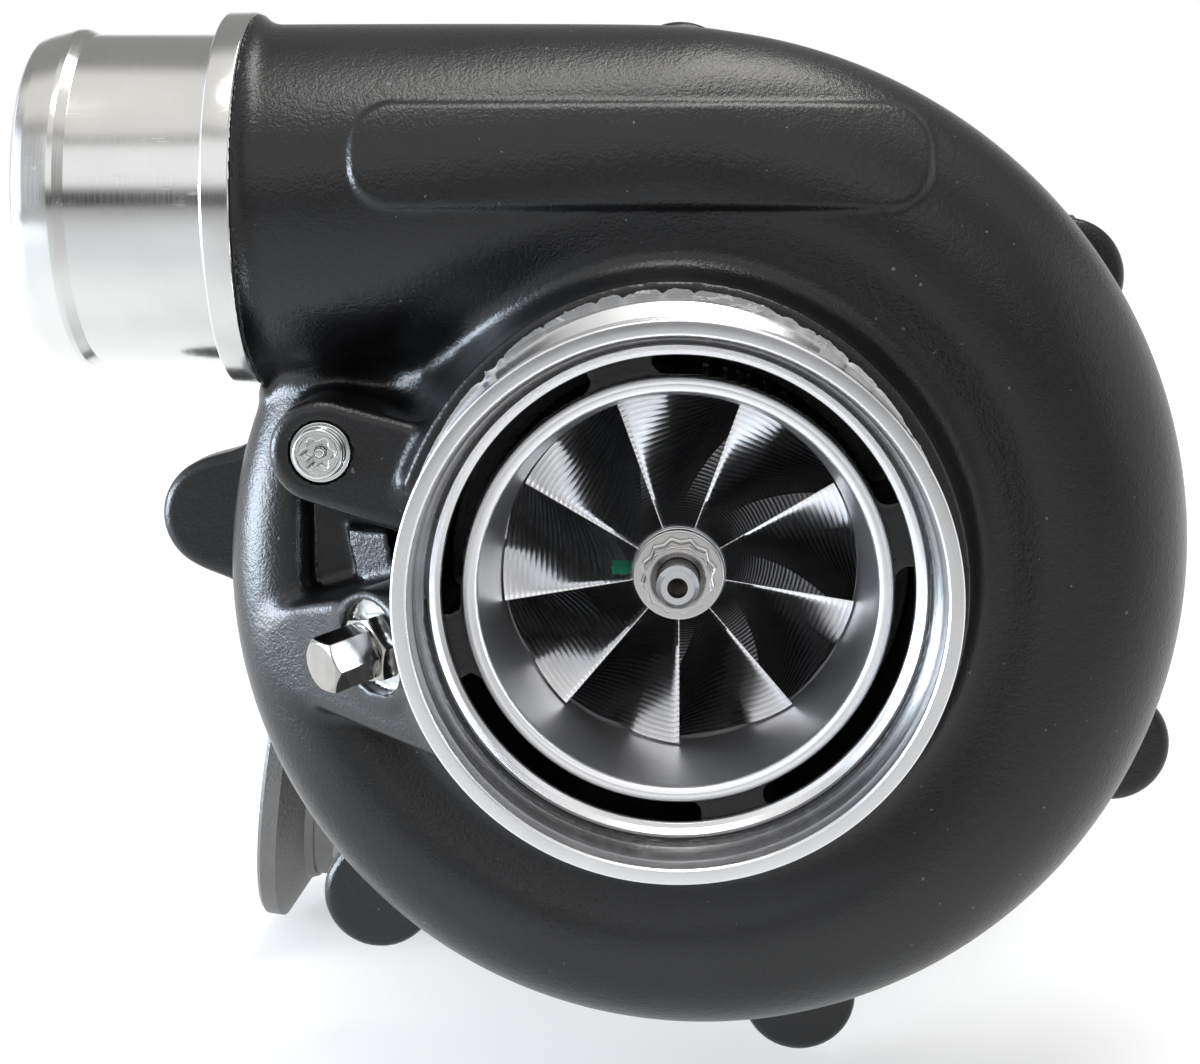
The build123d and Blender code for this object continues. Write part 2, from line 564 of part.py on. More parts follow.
def turbine_housing():
    body = rev([(30.0, 146.0), (62.0, 146.0), (64.0, 147.5), (64.0, 156.0), (62.0, 162.0), (60.0, 176.0), (50.0, 188.0), (42.0, 198.0), (42.0, 216.0),
                (44.0, 219.5), (T_OUT_R - 1.0, 221.5), (T_OUT_R, 222.4), (T_OUT_R, T_OUT_Y), (30.0, T_OUT_Y)])
    h = body + t_ring(0.0)
    h = h + t_leg(0.0)
    d = (math.cos(math.radians(T_IN_TILT)), 0, -math.sin(math.radians(T_IN_TILT)))
    h = h + revx([(0, 0), (T_FLANGE_R - 1.0, 0), (T_FLANGE_R, 0.9), (T_FLANGE_R, 4.6), (36.0, 9.5), (35.2, 11.5), (0, 11.5)], 0, 0, ax=d, origin=T_IN_C)
    h = h - t_ring(T_WALL)
    h = h - t_leg(T_WALL)
    h = h - revx([(0, -1), (28.5, -1), (27.5, 6), (27.5, 12.0), (0, 12.0)], 0, 0, ax=d, origin=T_IN_C)
    # throat into the wheel, wheel bore and outlet
    h = h - ring(30.0, 58.0, 155.0, 163.0)
    h = h - ring(0, 66.0, 120.0, 146.0)
    h = h - rev([(0, 140.0), (46.1, 140.0), (46.1, CH_Y1), (41.6, CH_Y1), (41.6, 150.5), (37.0, 150.5), (37.0, 163.0), (36.2, 164.6), (33.6, 168.6), (32.0, 173.0),
                 (32.0, 190.0), (T_OUT_BORE, 206.0), (T_OUT_BORE, T_OUT_Y + 1), (0, T_OUT_Y + 1)])
    for k in range(6):
        h = h - cyl(polar(55.0, 30 + 60 * k, 145), (0, 1, 0), 3.95, 10.0)
    s = sorted(h.solids(), key=lambda q: -q.volume)
    print("turbine housing solids", [round(q.volume) for q in s])
    return s[0]


def drain_flange():
    p = Plane(origin=Vector(0, 115.0, DRAIN_Z - 1.0), z_dir=Vector(0, 0, -1))
    f = boss_plate(25.0, 8.0, 13.0, DRAIN_Z - 1.0, 6.0)
    f = f + cyl((0, 115.0, DRAIN_Z - 6.0), (0, 0, -1), 11.0, 26.0)
    f = f - cyl((0, 115.0, DRAIN_Z), (0, 0, -1), 8.5, 40.0)
    for sx in (1, -1):
        f = f - cyl((sx * 19.0, 115.0, DRAIN_Z), (0, 0, -1), 4.3, 20.0)
    return one(f)


def boss_plate(hx, re, rc, z, t):
    """Flat oval flange: two ears and a round middle, hanging below z."""
    f = cyl((0, 115.0, z), (0, 0, -1), rc + 2, t)
    for sx in (1, -1):
        f = f + cyl((sx * 19.0, 115.0, z), (0, 0, -1), re, t)
    f = f + Solid.make_box(38.0, 15.0, t, Plane(origin=Vector(-19.0, 107.5, z - t)))
    return f


# ---------------------------------------------------------------------------
# write every node
# ---------------------------------------------------------------------------
save("compressor_housing", compressor_housing())
save("compressor_wheel", compressor_wheel())
save("turbine_wheel_shaft", turbine_wheel_shaft())
save("compressor_nut", compressor_nut())

sp = (SENS_C[0], SENS_Y + 1.2, SENS_C[1])
scr = cyl(sp, (0, -1, 0), 5.6, 1.2) + cyl((sp[0], sp[1] - 1.0, sp[2]), (0, -1, 0), 4.6, 4.2) + cyl(sp, (0, 1, 0), 3.0, 13.0)
scr = scr - prism((sp[0], sp[1] - 5.4, sp[2]), (0, 1, 0), 6, 2.5, 2.8) - prism((sp[0], sp[1] - 5.4, sp[2]), (0, 1, 0), 6, 2.5, 2.8, xd=(math.cos(math.pi / 6), 0, math.sin(math.pi / 6)))
save("speed_port_screw", one(scr))

ad = prism(tuple(BP_BASE), tuple(BP_DIR), 6, 7.3, 6.0) + cyl(tuple(BP_BASE + BP_DIR * 5.5), tuple(BP_DIR), 5.4, 2.5) + cyl(tuple(BP_BASE), tuple(-BP_DIR), 4.0, 9.5)
ad = ad - cyl(tuple(BP_BASE + BP_DIR * 9), tuple(-BP_DIR), 2.5, 20)
save("boost_port_adapter", one(ad))
pg = prism(tuple(BP_BASE + BP_DIR * 8.0), tuple(BP_DIR), 6, 5.6, 9.0) + cyl(tuple(BP_BASE + BP_DIR * 8.2), tuple(-BP_DIR), 2.48, 9.0)
save("boost_port_plug", one(pg))

save("compressor_backplate", backplate())
save("backplate_o_ring", ring(67.5, PILOT_R + 0.1, 73.3, 76.5))
outline = lobed_disc(FLANGE_R - 0.8, LOBE_R - 0.8, LOBE_PCR, REAR_Y - 2, REAR_Y + 8, 11.0)
save("compressor_clamp_plates", group([one(arc_plate(a0 - 5.5, a1 + 5.5, 80.5, 104.0, REAR_Y + 0.2, REAR_Y + 4.2, (a0, a1), 4.3, LOBE_PCR) & outline) for a0, a1 in LOBE_PAIRS]))
save("compressor_clamp_screws", group([hex_screw(polar(LOBE_PCR, a, REAR_Y + 4.2), (0, 1, 0), 12.8, 8.0, 3.95, 12.4, 8.3) for a in LOBE_ANG]))
save("backplate_screws", group([cap_screw(polar(33.0, 45 + 90 * k, 75.6), (0, -1, 0), 4.9, 5.8, 2.85, 25.0, 2.4) for k in range(4)]))
save("thrust_spacer", one(rev([(SHAFT_R, WHEEL_BACK_Y + 0.4), (10.7, WHEEL_BACK_Y + 0.4), (10.7, 78.0), (8.9, 78.0), (8.9, 79.7), (10.7, 79.7), (10.7, 89.8), (6.4, 91.7), (6.4, CART_Y0), (SHAFT_R, CART_Y0)])))
save("compressor_piston_ring", one(ring(9.15, 11.0, 78.15, 79.55)))
save("bearing_retainer", one(ring(7.4, 20.0, BP_Y1, CART_Y0)))
save("bearing_outer_sleeve", outer_sleeve())
save("inner_race_front", inner_race(CART_Y0, 115.0, BALL_Y[0]))
save("inner_race_rear", inner_race(115.0, CART_Y1, BALL_Y[1]))
save("front_balls", balls(BALL_Y[0], 10.0))
save("front_cage", cage(BALL_Y[0], 10.0))
save("rear_balls", balls(BALL_Y[1], 30.0))
save("rear_cage", cage(BALL_Y[1], 30.0))
save("bearing_locating_pin", cyl((11.1, 104.5, 0), (1, 0, 0), 1.5, 5.8))
save("bearing_housing", bearing_housing())

o = cyl((0, 113.0, OIL_IN_Z + 1.5), (0, 0, -1), 4.95, 12.0) + prism((0, 113.0, OIL_IN_Z + 1.5), (0, 0, 1), 6, 8.1, 6.0) + cyl((0, 113.0, OIL_IN_Z + 7.0), (0, 0, 1), 5.5, 12.0)
o = o + cone((0, 113.0, OIL_IN_Z + 19.0), (0, 0, 1), 5.5, 3.6, 2.4)
o = o - cyl((0, 113.0, OIL_IN_Z + 30), (0, 0, -1), 2.2, 32.0) - cyl((0, 113.0, OIL_IN_Z), (0, 0, -1), 0.6, 15.0)
save("oil_inlet_fitting", one(o))
save("oil_inlet_washer", one(cyl((0, 113.0, OIL_IN_Z), (0, 0, 1), 8.0, 1.5) - cyl((0, 113.0, OIL_IN_Z - 1), (0, 0, 1), 5.0, 4)))
g = boss_plate(25.0, 8.0, 13.0, DRAIN_Z, 1.0) - cyl((0, 115.0, DRAIN_Z + 1), (0, 0, -1), 9.0, 4.0)
for sx in (1, -1):
    g = g - cyl((sx * 19.0, 115.0, DRAIN_Z + 1), (0, 0, -1), 4.3, 4.0)
save("oil_drain_gasket", one(g))
save("oil_drain_flange", drain_flange())
save("oil_drain_screws", group([hex_screw((sx * 19.0, 115.0, DRAIN_Z - 7.0), (0, 0, -1), 12.8, 5.5, 3.9, 19.0, 6.9) for sx in (1, -1)]))
save("coolant_plugs", group([hex_screw((sx * (WATER_X + 1.5), 119.0, 0), (sx, 0, 0), 19.0, 6.0, 6.45, 12.5, 10.6) for sx in (1, -1)]))
save("coolant_washers", group([cyl((sx * WATER_X, 119.0, 0), (sx, 0, 0), 10.6, 1.5) - cyl((sx * (WATER_X - 1), 119.0, 0), (sx, 0, 0), 6.5, 5.0) for sx in (1, -1)]))
save("heat_shield", one(rev([(12.8, 148.2), (13.8, 148.2), (13.8, 149.2), (20.0, 148.6), (34.0, 148.6), (36.2, CH_Y1), (41.5, CH_Y1), (41.5, 150.5), (35.8, 150.5), (33.6, 149.6), (20.4, 149.6), (14.2, 150.2), (12.8, 150.2)])))
save("turbine_piston_ring", one(ring(9.15, 11.0, 141.15, 142.55)))
save("turbine_housing", turbine_housing())
save("turbine_clamp_plates", group([arc_plate(a0, a0 + 152, 43.2, 62.0, 142.0, 146.0, (a0 + 16, a0 + 76, a0 + 136), 4.2, 55.0) for a0 in (14.0, 194.0)]))
save("turbine_clamp_screws", group([hex_screw(polar(55.0, 30 + 60 * k, 142.0), (0, -1, 0), 12.8, 7.0, 3.9, 12.0, 8.2) for k in range(6)]))
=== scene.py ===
import json
import math

import bpy
import numpy as np
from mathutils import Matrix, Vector


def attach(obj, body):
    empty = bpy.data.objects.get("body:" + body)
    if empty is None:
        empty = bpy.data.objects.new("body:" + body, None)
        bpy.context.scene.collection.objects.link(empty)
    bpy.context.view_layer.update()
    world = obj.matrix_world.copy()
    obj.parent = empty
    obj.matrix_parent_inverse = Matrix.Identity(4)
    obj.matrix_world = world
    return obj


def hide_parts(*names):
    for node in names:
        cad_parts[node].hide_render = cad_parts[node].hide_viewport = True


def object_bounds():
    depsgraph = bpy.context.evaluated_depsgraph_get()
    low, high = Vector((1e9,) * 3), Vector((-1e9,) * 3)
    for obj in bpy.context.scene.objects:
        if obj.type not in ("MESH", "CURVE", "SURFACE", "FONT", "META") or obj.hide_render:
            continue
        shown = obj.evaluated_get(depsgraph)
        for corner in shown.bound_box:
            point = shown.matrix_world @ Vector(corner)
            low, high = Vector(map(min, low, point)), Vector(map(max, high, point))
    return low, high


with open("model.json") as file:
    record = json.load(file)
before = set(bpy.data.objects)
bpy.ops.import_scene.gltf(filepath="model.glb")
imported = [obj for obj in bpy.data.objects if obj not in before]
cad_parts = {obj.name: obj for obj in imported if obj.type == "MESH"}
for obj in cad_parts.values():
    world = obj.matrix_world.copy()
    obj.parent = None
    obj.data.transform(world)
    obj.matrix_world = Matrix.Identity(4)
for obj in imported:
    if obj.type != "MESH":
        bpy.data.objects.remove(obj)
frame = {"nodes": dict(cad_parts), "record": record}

CAD_BOX = [list(v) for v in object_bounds()]
NODES = frame["nodes"]
FINE = 1.0
MM = 0.001


# ---------------------------------------------------------------------------
# mesh helpers (all geometry below is in millimetres, converted on creation)
# ---------------------------------------------------------------------------
def make(name, verts, faces, mats, sharp=30.0, face_mat=None, body="housing", replaces=(), slot=None, uv=None):
    me = bpy.data.meshes.new(name)
    v = np.asarray(verts, np.float64) * MM
    if isinstance(faces, np.ndarray):
        n = faces.shape[1]
        me.vertices.add(len(v))
        me.vertices.foreach_set("co", v.astype(np.float32).ravel())
        me.loops.add(faces.size)
        me.loops.foreach_set("vertex_index", faces.astype(np.int32).ravel())
        me.polygons.add(len(faces))
        me.polygons.foreach_set("loop_start", (np.arange(len(faces)) * n).astype(np.int32))
        me.update(calc_edges=True)
    else:
        me.from_pydata([tuple(p) for p in v], [], faces)
    me.validate()
    if not isinstance(mats, (list, tuple)):
        mats = [mats]
    for m in mats:
        me.materials.append(m)
    if face_mat is not None:
        me.polygons.foreach_set("material_index", np.asarray(face_mat, np.int32))
    if uv is not None:
        lay = me.uv_layers.new(name="UVMap")
        idx = np.empty(len(me.loops), np.int32)
        me.loops.foreach_get("vertex_index", idx)
        lay.data.foreach_set("uv", np.asarray(uv, np.float32)[idx].ravel())
    me.polygons.foreach_set("use_smooth", np.ones(len(me.polygons), bool))
    if sharp is not None:
        me.set_sharp_from_angle(angle=math.radians(sharp))
    me.update()
    ob = bpy.data.objects.new(name, me)
    bpy.context.scene.collection.objects.link(ob)
    if body:
        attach(ob, body)
    for n in replaces:
        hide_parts(n)
    return ob


def revolve(profile, segs=256, origin=(0, 0, 0), axis="Y", radius_fn=None):
    """Closed surface of revolution from a closed loop of (r, a) points; a runs along the axis.
    radius_fn(k, angle) may shift the radius of profile point k."""
    n = len(profile)
    th = np.linspace(0, 2 * np.pi, segs, endpoint=False)
    r = np.array([p[0] for p in profile], float)
    a = np.array([p[1] for p in profile], float)
    RR = np.repeat(r[None, :], segs, 0)
    AA = np.repeat(a[None, :], segs, 0)
    if radius_fn is not None:
        for k in range(n):
            RR[:, k] = RR[:, k] + radius_fn(k, th)
    c, s = np.cos(th)[:, None], np.sin(th)[:, None]
    if axis == "Y":
        V = np.stack([RR * c, AA, RR * s], -1)
    elif axis == "-X":
        V = np.stack([-AA, RR * c, RR * s], -1)
    elif axis == "Z":
        V = np.stack([RR * c, RR * s, AA], -1)
    V = V.reshape(-1, 3) + np.array(origin, float)
    i, j = np.meshgrid(np.arange(segs), np.arange(n), indexing="ij")
    i2, j2 = (i + 1) % segs, (j + 1) % n
    F = np.stack([i * n + j, i2 * n + j, i2 * n + j2, i * n + j2], -1).reshape(-1, 4)
    if axis in ("-X", "Y"):
        F = F[:, ::-1]
    # orientation: make the volume positive
    P = V[F]
    vol = np.einsum("ij,ij->i", P[:, 0], np.cross(P[:, 1], P[:, 2])).sum() + np.einsum("ij,ij->i", P[:, 0], np.cross(P[:, 2], P[:, 3])).sum()
    if vol < 0:
        F = F[:, ::-1]
    return V, F


def rounded(profile, radius, steps=4, closed=True, keep=()):
    """Round the corners of a closed polyline of (r, a) points."""
    out = []
    n = len(profile)
    for k in range(n):
        p0, p1, p2 = (np.array(profile[(k + d) % n], float) for d in (-1, 0, 1))
        if k in keep:
            out.append(tuple(p1))
            continue
        a, b = p0 - p1, p2 - p1
        la, lb = np.linalg.norm(a), np.linalg.norm(b)
        a, b = a / la, b / lb
        cosang = np.clip(a @ b, -1, 1)
        ang = np.arccos(cosang)
        if ang > math.radians(176) or ang < math.radians(4):
            out.append(tuple(p1))
            continue
        rr = radius[k] if isinstance(radius, (list, tuple)) else radius
        t = min(rr / math.tan(ang / 2), 0.45 * la, 0.45 * lb)
        s, e = p1 + a * t, p1 + b * t
        for q in range(steps + 1):
            u = q / steps
            out.append(tuple((1 - u) ** 2 * s + 2 * u * (1 - u) * p1 + u * u * e))
    return out


def surface_nets(f, origin, h):
    """Quad mesh of the zero level of f (negative inside) on a regular grid."""
    s = f < 0
    nx, ny, nz = f.shape
    c = np.zeros((nx - 1, ny - 1, nz - 1), np.int8)
    for dx in (0, 1):
        for dy in (0, 1):
            for dz in (0, 1):
                c += s[dx:nx - 1 + dx, dy:ny - 1 + dy, dz:nz - 1 + dz]
    mask = (c > 0) & (c < 8)
    ids = np.argwhere(mask)
    idx = np.full(mask.shape, -1, np.int64)
    idx[mask] = np.arange(len(ids))
    acc = np.zeros((len(ids), 3))
    cnt = np.zeros(len(ids))
    for ax in range(3):
        o1, o2 = [k for k in range(3) if k != ax]
        for a in (0, 1):
            for b in (0, 1):
                A = np.zeros(3, int)
                A[o1], A[o2] = a, b
                B = A.copy()
                B[ax] = 1
                fa = f[ids[:, 0] + A[0], ids[:, 1] + A[1], ids[:, 2] + A[2]].astype(np.float64)
                fb = f[ids[:, 0] + B[0], ids[:, 1] + B[1], ids[:, 2] + B[2]].astype(np.float64)
                m = (fa < 0) != (fb < 0)
                t = np.where(m, fa / np.where(m, fa - fb, 1), 0)
                P = np.repeat(A[None, :].astype(float), len(ids), 0)
                P[:, ax] += t
                acc[m] += P[m]
                cnt[m] += 1
    V = (ids + acc / np.maximum(cnt, 1)[:, None]) * h + np.array(origin, float)
    F = []
    for ax in range(3):
        o1, o2 = [(1, 2), (2, 0), (0, 1)][ax]
        sl0 = [slice(None)] * 3
        sl1 = [slice(None)] * 3
        sl0[ax], sl1[ax] = slice(0, -1), slice(1, None)
        s0, s1 = s[tuple(sl0)], s[tuple(sl1)]
        e = np.argwhere(s0 != s1)
        lim = np.array(mask.shape)
        e = e[(e[:, o1] > 0) & (e[:, o2] > 0) & (e[:, o1] < lim[o1]) & (e[:, o2] < lim[o2])]
        u, w = np.zeros(3, int), np.zeros(3, int)
        u[o1], w[o2] = 1, 1
        g = lambda q: idx[q[:, 0], q[:, 1], q[:, 2]]
        quad = np.stack([g(e), g(e - u), g(e - u - w), g(e - w)], -1)
        inside = s0[e[:, 0], e[:, 1], e[:, 2]]
        quad[~inside] = quad[~inside][:, ::-1]
        F.append(quad)
    return V, np.concatenate(F)


def grid(x0, x1, y0, y1, z0, z1, h):
    X = np.arange(x0, x1 + h, h, dtype=np.float32)[:, None, None]
    Y = np.arange(y0, y1 + h, h, dtype=np.float32)[None, :, None]
    Z = np.arange(z0, z1 + h, h, dtype=np.float32)[None, None, :]
    return X, Y, Z, (x0, y0, z0)


def smin(a, b, k):
    h = np.clip(0.5 + 0.5 * (b - a) / k, 0, 1)
    return b + (a - b) * h - k * h * (1 - h)


def smax(a, b, k):
    return -smin(-a, -b, k)


def ext(d2, w, r=0.0):
    """Extruded shape: 2-D distance d2 and slab distance w, edges rounded by r."""
    a, b = d2 + r, w + r
    return np.minimum(np.maximum(a, b), 0) + np.hypot(np.maximum(a, 0), np.maximum(b, 0)) - r


def capsule2(X, Z, x0, z0, r0, x1, z1, r1):
    """Distance to the hull of two circles (tapered capsule), 2-D."""
    px, pz = X - x0, Z - z0
    bx, bz = x1 - x0, z1 - z0
    L = math.hypot(bx, bz)
    ux, uz = bx / L, bz / L
    s = (r1 - r0) / L
    c = math.sqrt(1 - s * s)
    a = px * ux + pz * uz
    b = np.abs(-px * uz + pz * ux)
    # slide along the cone direction
    t = np.clip((a + b * s / c) / L, 0, 1)
    qa, qb = a - t * L, b
    return np.hypot(qa, qb) - (r0 + (r1 - r0) * t)


def poly_field(deg, ang, val):
    c = np.polyfit((np.array(ang) - 290) / 160, val, deg)
    return lambda th: np.polyval(c, (th - 290) / 160)


# ---------------------------------------------------------------------------
# materials
# ---------------------------------------------------------------------------
def new_mat(name):
    m = bpy.data.materials.new(name)
    m.use_nodes = True
    nt = m.node_tree
    b = nt.nodes["Principled BSDF"]
    return m, nt, b


def N(nt, kind, **kw):
    n = nt.nodes.new(kind)
    for k, v in kw.items():
        if k.startswith("i_"):
            n.inputs[k[2:].replace("_", " ")].default_value = v
        else:
            setattr(n, k, v)
    return n


def mathn(nt, op, a, b=None, c=None):
    n = nt.nodes.new("ShaderNodeMath")
    n.operation = op
    for i, v in enumerate((a, b, c)):
        if v is None:
            continue
        if isinstance(v, (int, float)):
            n.inputs[i].default_value = v
        else:
            nt.links.new(v, n.inputs[i])
    return n.outputs[0]


def mixc(nt, fac, a, b):
    n = nt.nodes.new("ShaderNodeMix")
    n.data_type = "RGBA"
    for i, v in ((0, fac), (6, a), (7, b)):
        if hasattr(v, "is_output") or hasattr(v, "links"):
            nt.links.new(v, n.inputs[i])
        else:
            n.inputs[i].default_value = v if i == 0 else (*v, 1.0)
    return n.outputs[2]


def ramp(nt, fac, stops):
    n = nt.nodes.new("ShaderNodeValToRGB")
    el = n.color_ramp.elements
    while len(el) < len(stops):
        el.new(0.5)
    for e, (p, c) in zip(el, stops):
        e.position = p
        e.color = (*c, 1.0) if isinstance(c, tuple) else (c, c, c, 1.0)
    nt.links.new(fac, n.inputs[0])
    return n.outputs[0]


def noise(nt, vec, scale, detail=3.0, rough=0.55, w=None):
    n = nt.nodes.new("ShaderNodeTexNoise")
    n.inputs["Scale"].default_value = scale
    n.inputs["Detail"].default_value = detail
    n.inputs["Roughness"].default_value = rough
    if vec is not None:
        nt.links.new(vec, n.inputs["Vector"])
    return n.outputs["Fac"]


def bump(nt, height, strength, dist, normal=None):
    n = nt.nodes.new("ShaderNodeBump")
    n.inputs["Strength"].default_value = strength
    n.inputs["Distance"].default_value = dist
    nt.links.new(height, n.inputs["Height"])
    if normal is not None:
        nt.links.new(normal, n.inputs["Normal"])
    return n.outputs[0]


def black_paint(name="black_coating"):
    m, nt, b = new_mat(name)
    co = N(nt, "ShaderNodeTexCoord").outputs["Object"]
    big = noise(nt, co, 38.0, 3.0, 0.5)
    mid = noise(nt, co, 620.0, 2.0, 0.5)
    fine = noise(nt, co, 1750.0, 2.0, 0.6)
    grain = mathn(nt, "ADD", mathn(nt, "MULTIPLY", mid, 0.45), mathn(nt, "MULTIPLY", fine, 0.55))
    col = ramp(nt, big, [(0.3, (0.0030, 0.0030, 0.0034)), (0.7, (0.0055, 0.0055, 0.0060))])
    speck = ramp(nt, noise(nt, co, 900.0, 0.0, 0.5), [(0.865, 0.0), (0.875, 1.0)])
    col = mixc(nt, speck, col, (0.10, 0.10, 0.105))
    nt.links.new(col, b.inputs["Base Color"])
    ro = mathn(nt, "ADD", mathn(nt, "MULTIPLY", big, 0.10), mathn(nt, "MULTIPLY", fine, 0.10))
    ro = mathn(nt, "ADD", ro, 0.20)
    nt.links.new(ro, b.inputs["Roughness"])
    b.inputs["Specular IOR Level"].default_value = 0.5
    nt.links.new(bump(nt, grain, 0.50, 0.00036), b.inputs["Normal"])
    return m


def turned(name, axis="Y", origin=(0, 0, 0), base=(0.76, 0.76, 0.77), rough=0.2, aniso=0.55, lines=2600.0, strength=0.10, scratches=0.35, spots=0.0):
    """Bright turned metal: fine rings round the axis, faint scratches, streaky roughness."""
    m, nt, b = new_mat(name)
    co = N(nt, "ShaderNodeTexCoord").outputs["Object"]
    mp = N(nt, "ShaderNodeMapping")
    mp.inputs["Location"].default_value = tuple(-o * MM for o in origin)
    nt.links.new(co, mp.inputs["Vector"])
    sep = N(nt, "ShaderNodeSeparateXYZ")
    nt.links.new(mp.outputs[0], sep.inputs[0])
    X, Y, Z = sep.outputs
    if axis == "Y":
        a, p, q = Y, X, Z
    elif axis == "X":
        a, p, q = X, Y, Z
    else:
        a, p, q = Z, X, Y
    r = mathn(nt, "SQRT", mathn(nt, "ADD", mathn(nt, "MULTIPLY", p, p), mathn(nt, "MULTIPLY", q, q)))
    cmb = N(nt, "ShaderNodeCombineXYZ")
    nt.links.new(mathn(nt, "MULTIPLY", r, lines), cmb.inputs[0])
    nt.links.new(mathn(nt, "MULTIPLY", a, lines), cmb.inputs[1])
    nt.links.new(mathn(nt, "MULTIPLY", mathn(nt, "ARCTAN2", q, p), 0.30), cmb.inputs[2])
    ring = noise(nt, cmb.outputs[0], 1.0, 3.0, 0.65)
    broad = noise(nt, cmb.outputs[0], 0.12, 2.0, 0.5)
    scr_v = N(nt, "ShaderNodeMapping")
    scr_v.inputs["Rotation"].default_value = (0.5, 0.9, 0.3)
    scr_v.inputs["Scale"].default_value = (1.0, 12.0, 3.0)
    nt.links.new(co, scr_v.inputs["Vector"])
    scr = noise(nt, scr_v.outputs[0], 160.0, 5.0, 0.7)
    scr = ramp(nt, scr, [(0.60, 0.0), (0.68, 1.0)])
    blotch = noise(nt, co, 55.0, 4.0, 0.6)
    col = ramp(nt, blotch, [(0.25, tuple(c * 0.90 for c in base)), (0.75, base)])
    nt.links.new(col, b.inputs["Base Color"])
    b.inputs["Metallic"].default_value = 1.0
    ro = mathn(nt, "ADD", mathn(nt, "MULTIPLY", ring, 0.12), mathn(nt, "MULTIPLY", blotch, 0.10))
    ro = mathn(nt, "ADD", ro, mathn(nt, "MULTIPLY", scr, 0.10 * scratches))
    ro = mathn(nt, "ADD", ro, rough - 0.11)
    nt.links.new(ro, b.inputs["Roughness"])
    b.inputs["Anisotropic"].default_value = aniso
    tg = N(nt, "ShaderNodeTangent", direction_type="RADIAL", axis={"Y": "Y", "X": "X", "Z": "Z"}[axis])
    nt.links.new(tg.outputs[0], b.inputs["Tangent"])
    h = mathn(nt, "ADD", mathn(nt, "MULTIPLY", ring, 0.8), mathn(nt, "MULTIPLY", broad, 0.45))
    h = mathn(nt, "SUBTRACT", h, mathn(nt, "MULTIPLY", scr, scratches))
    nt.links.new(bump(nt, h, strength, 0.0001), b.inputs["Normal"])
    return m


def plated(name, base, rough, bump_scale=900.0, strength=0.12, metallic=1.0):
    m, nt, b = new_mat(name)
    co = N(nt, "ShaderNodeTexCoord").outputs["Object"]
    g = noise(nt, co, bump_scale, 4.0, 0.6)
    blotch = noise(nt, co, 170.0, 4.0, 0.6)
    col = ramp(nt, blotch, [(0.3, tuple(c * 0.82 for c in base)), (0.7, base)])
    nt.links.new(col, b.inputs["Base Color"])
    b.inputs["Metallic"].default_value = metallic
    ro = mathn(nt, "ADD", mathn(nt, "MULTIPLY", blotch, 0.16), rough - 0.08)
    nt.links.new(ro, b.inputs["Roughness"])
    nt.links.new(bump(nt, g, strength, 0.0001), b.inputs["Normal"])
    return m


def cast_metal(name, base, rough=0.55, metallic=0.85, grain=1100.0, strength=0.5, tint=None):
    m, nt, b = new_mat(name)
    co = N(nt, "ShaderNodeTexCoord").outputs["Object"]
    big = noise(nt, co, 45.0, 4.0, 0.6)
    fine = noise(nt, co, grain, 3.0, 0.6)
    pits = ramp(nt, noise(nt, co, grain * 0.45, 2.0, 0.5), [(0.30, 0.0), (0.42, 1.0)])
    lo = tint or tuple(c * 0.70 for c in base)
    col = ramp(nt, big, [(0.3, lo), (0.7, base)])
    col = mixc(nt, mathn(nt, "MULTIPLY", fine, 0.35), col, tuple(c * 0.55 for c in base))
    nt.links.new(col, b.inputs["Base Color"])
    b.inputs["Metallic"].default_value = metallic
    nt.links.new(mathn(nt, "ADD", mathn(nt, "MULTIPLY", big, 0.18), rough - 0.09), b.inputs["Roughness"])
    h = mathn(nt, "ADD", fine, mathn(nt, "MULTIPLY", pits, 0.6))
    nt.links.new(bump(nt, h, strength, 0.00025), b.inputs["Normal"])
    return m


def rubber(name):
    m, nt, b = new_mat(name)
    co = N(nt, "ShaderNodeTexCoord").outputs["Object"]
    g = noise(nt, co, 900.0, 3.0, 0.6)
    nt.links.new(ramp(nt, g, [(0.3, (0.012, 0.012, 0.012)), (0.7, (0.022, 0.022, 0.022))]), b.inputs["Base Color"])
    nt.links.new(mathn(nt, "ADD", mathn(nt, "MULTIPLY", g, 0.2), 0.5), b.inputs["Roughness"])
    nt.links.new(bump(nt, g, 0.2, 0.0001), b.inputs["Normal"])
    return m


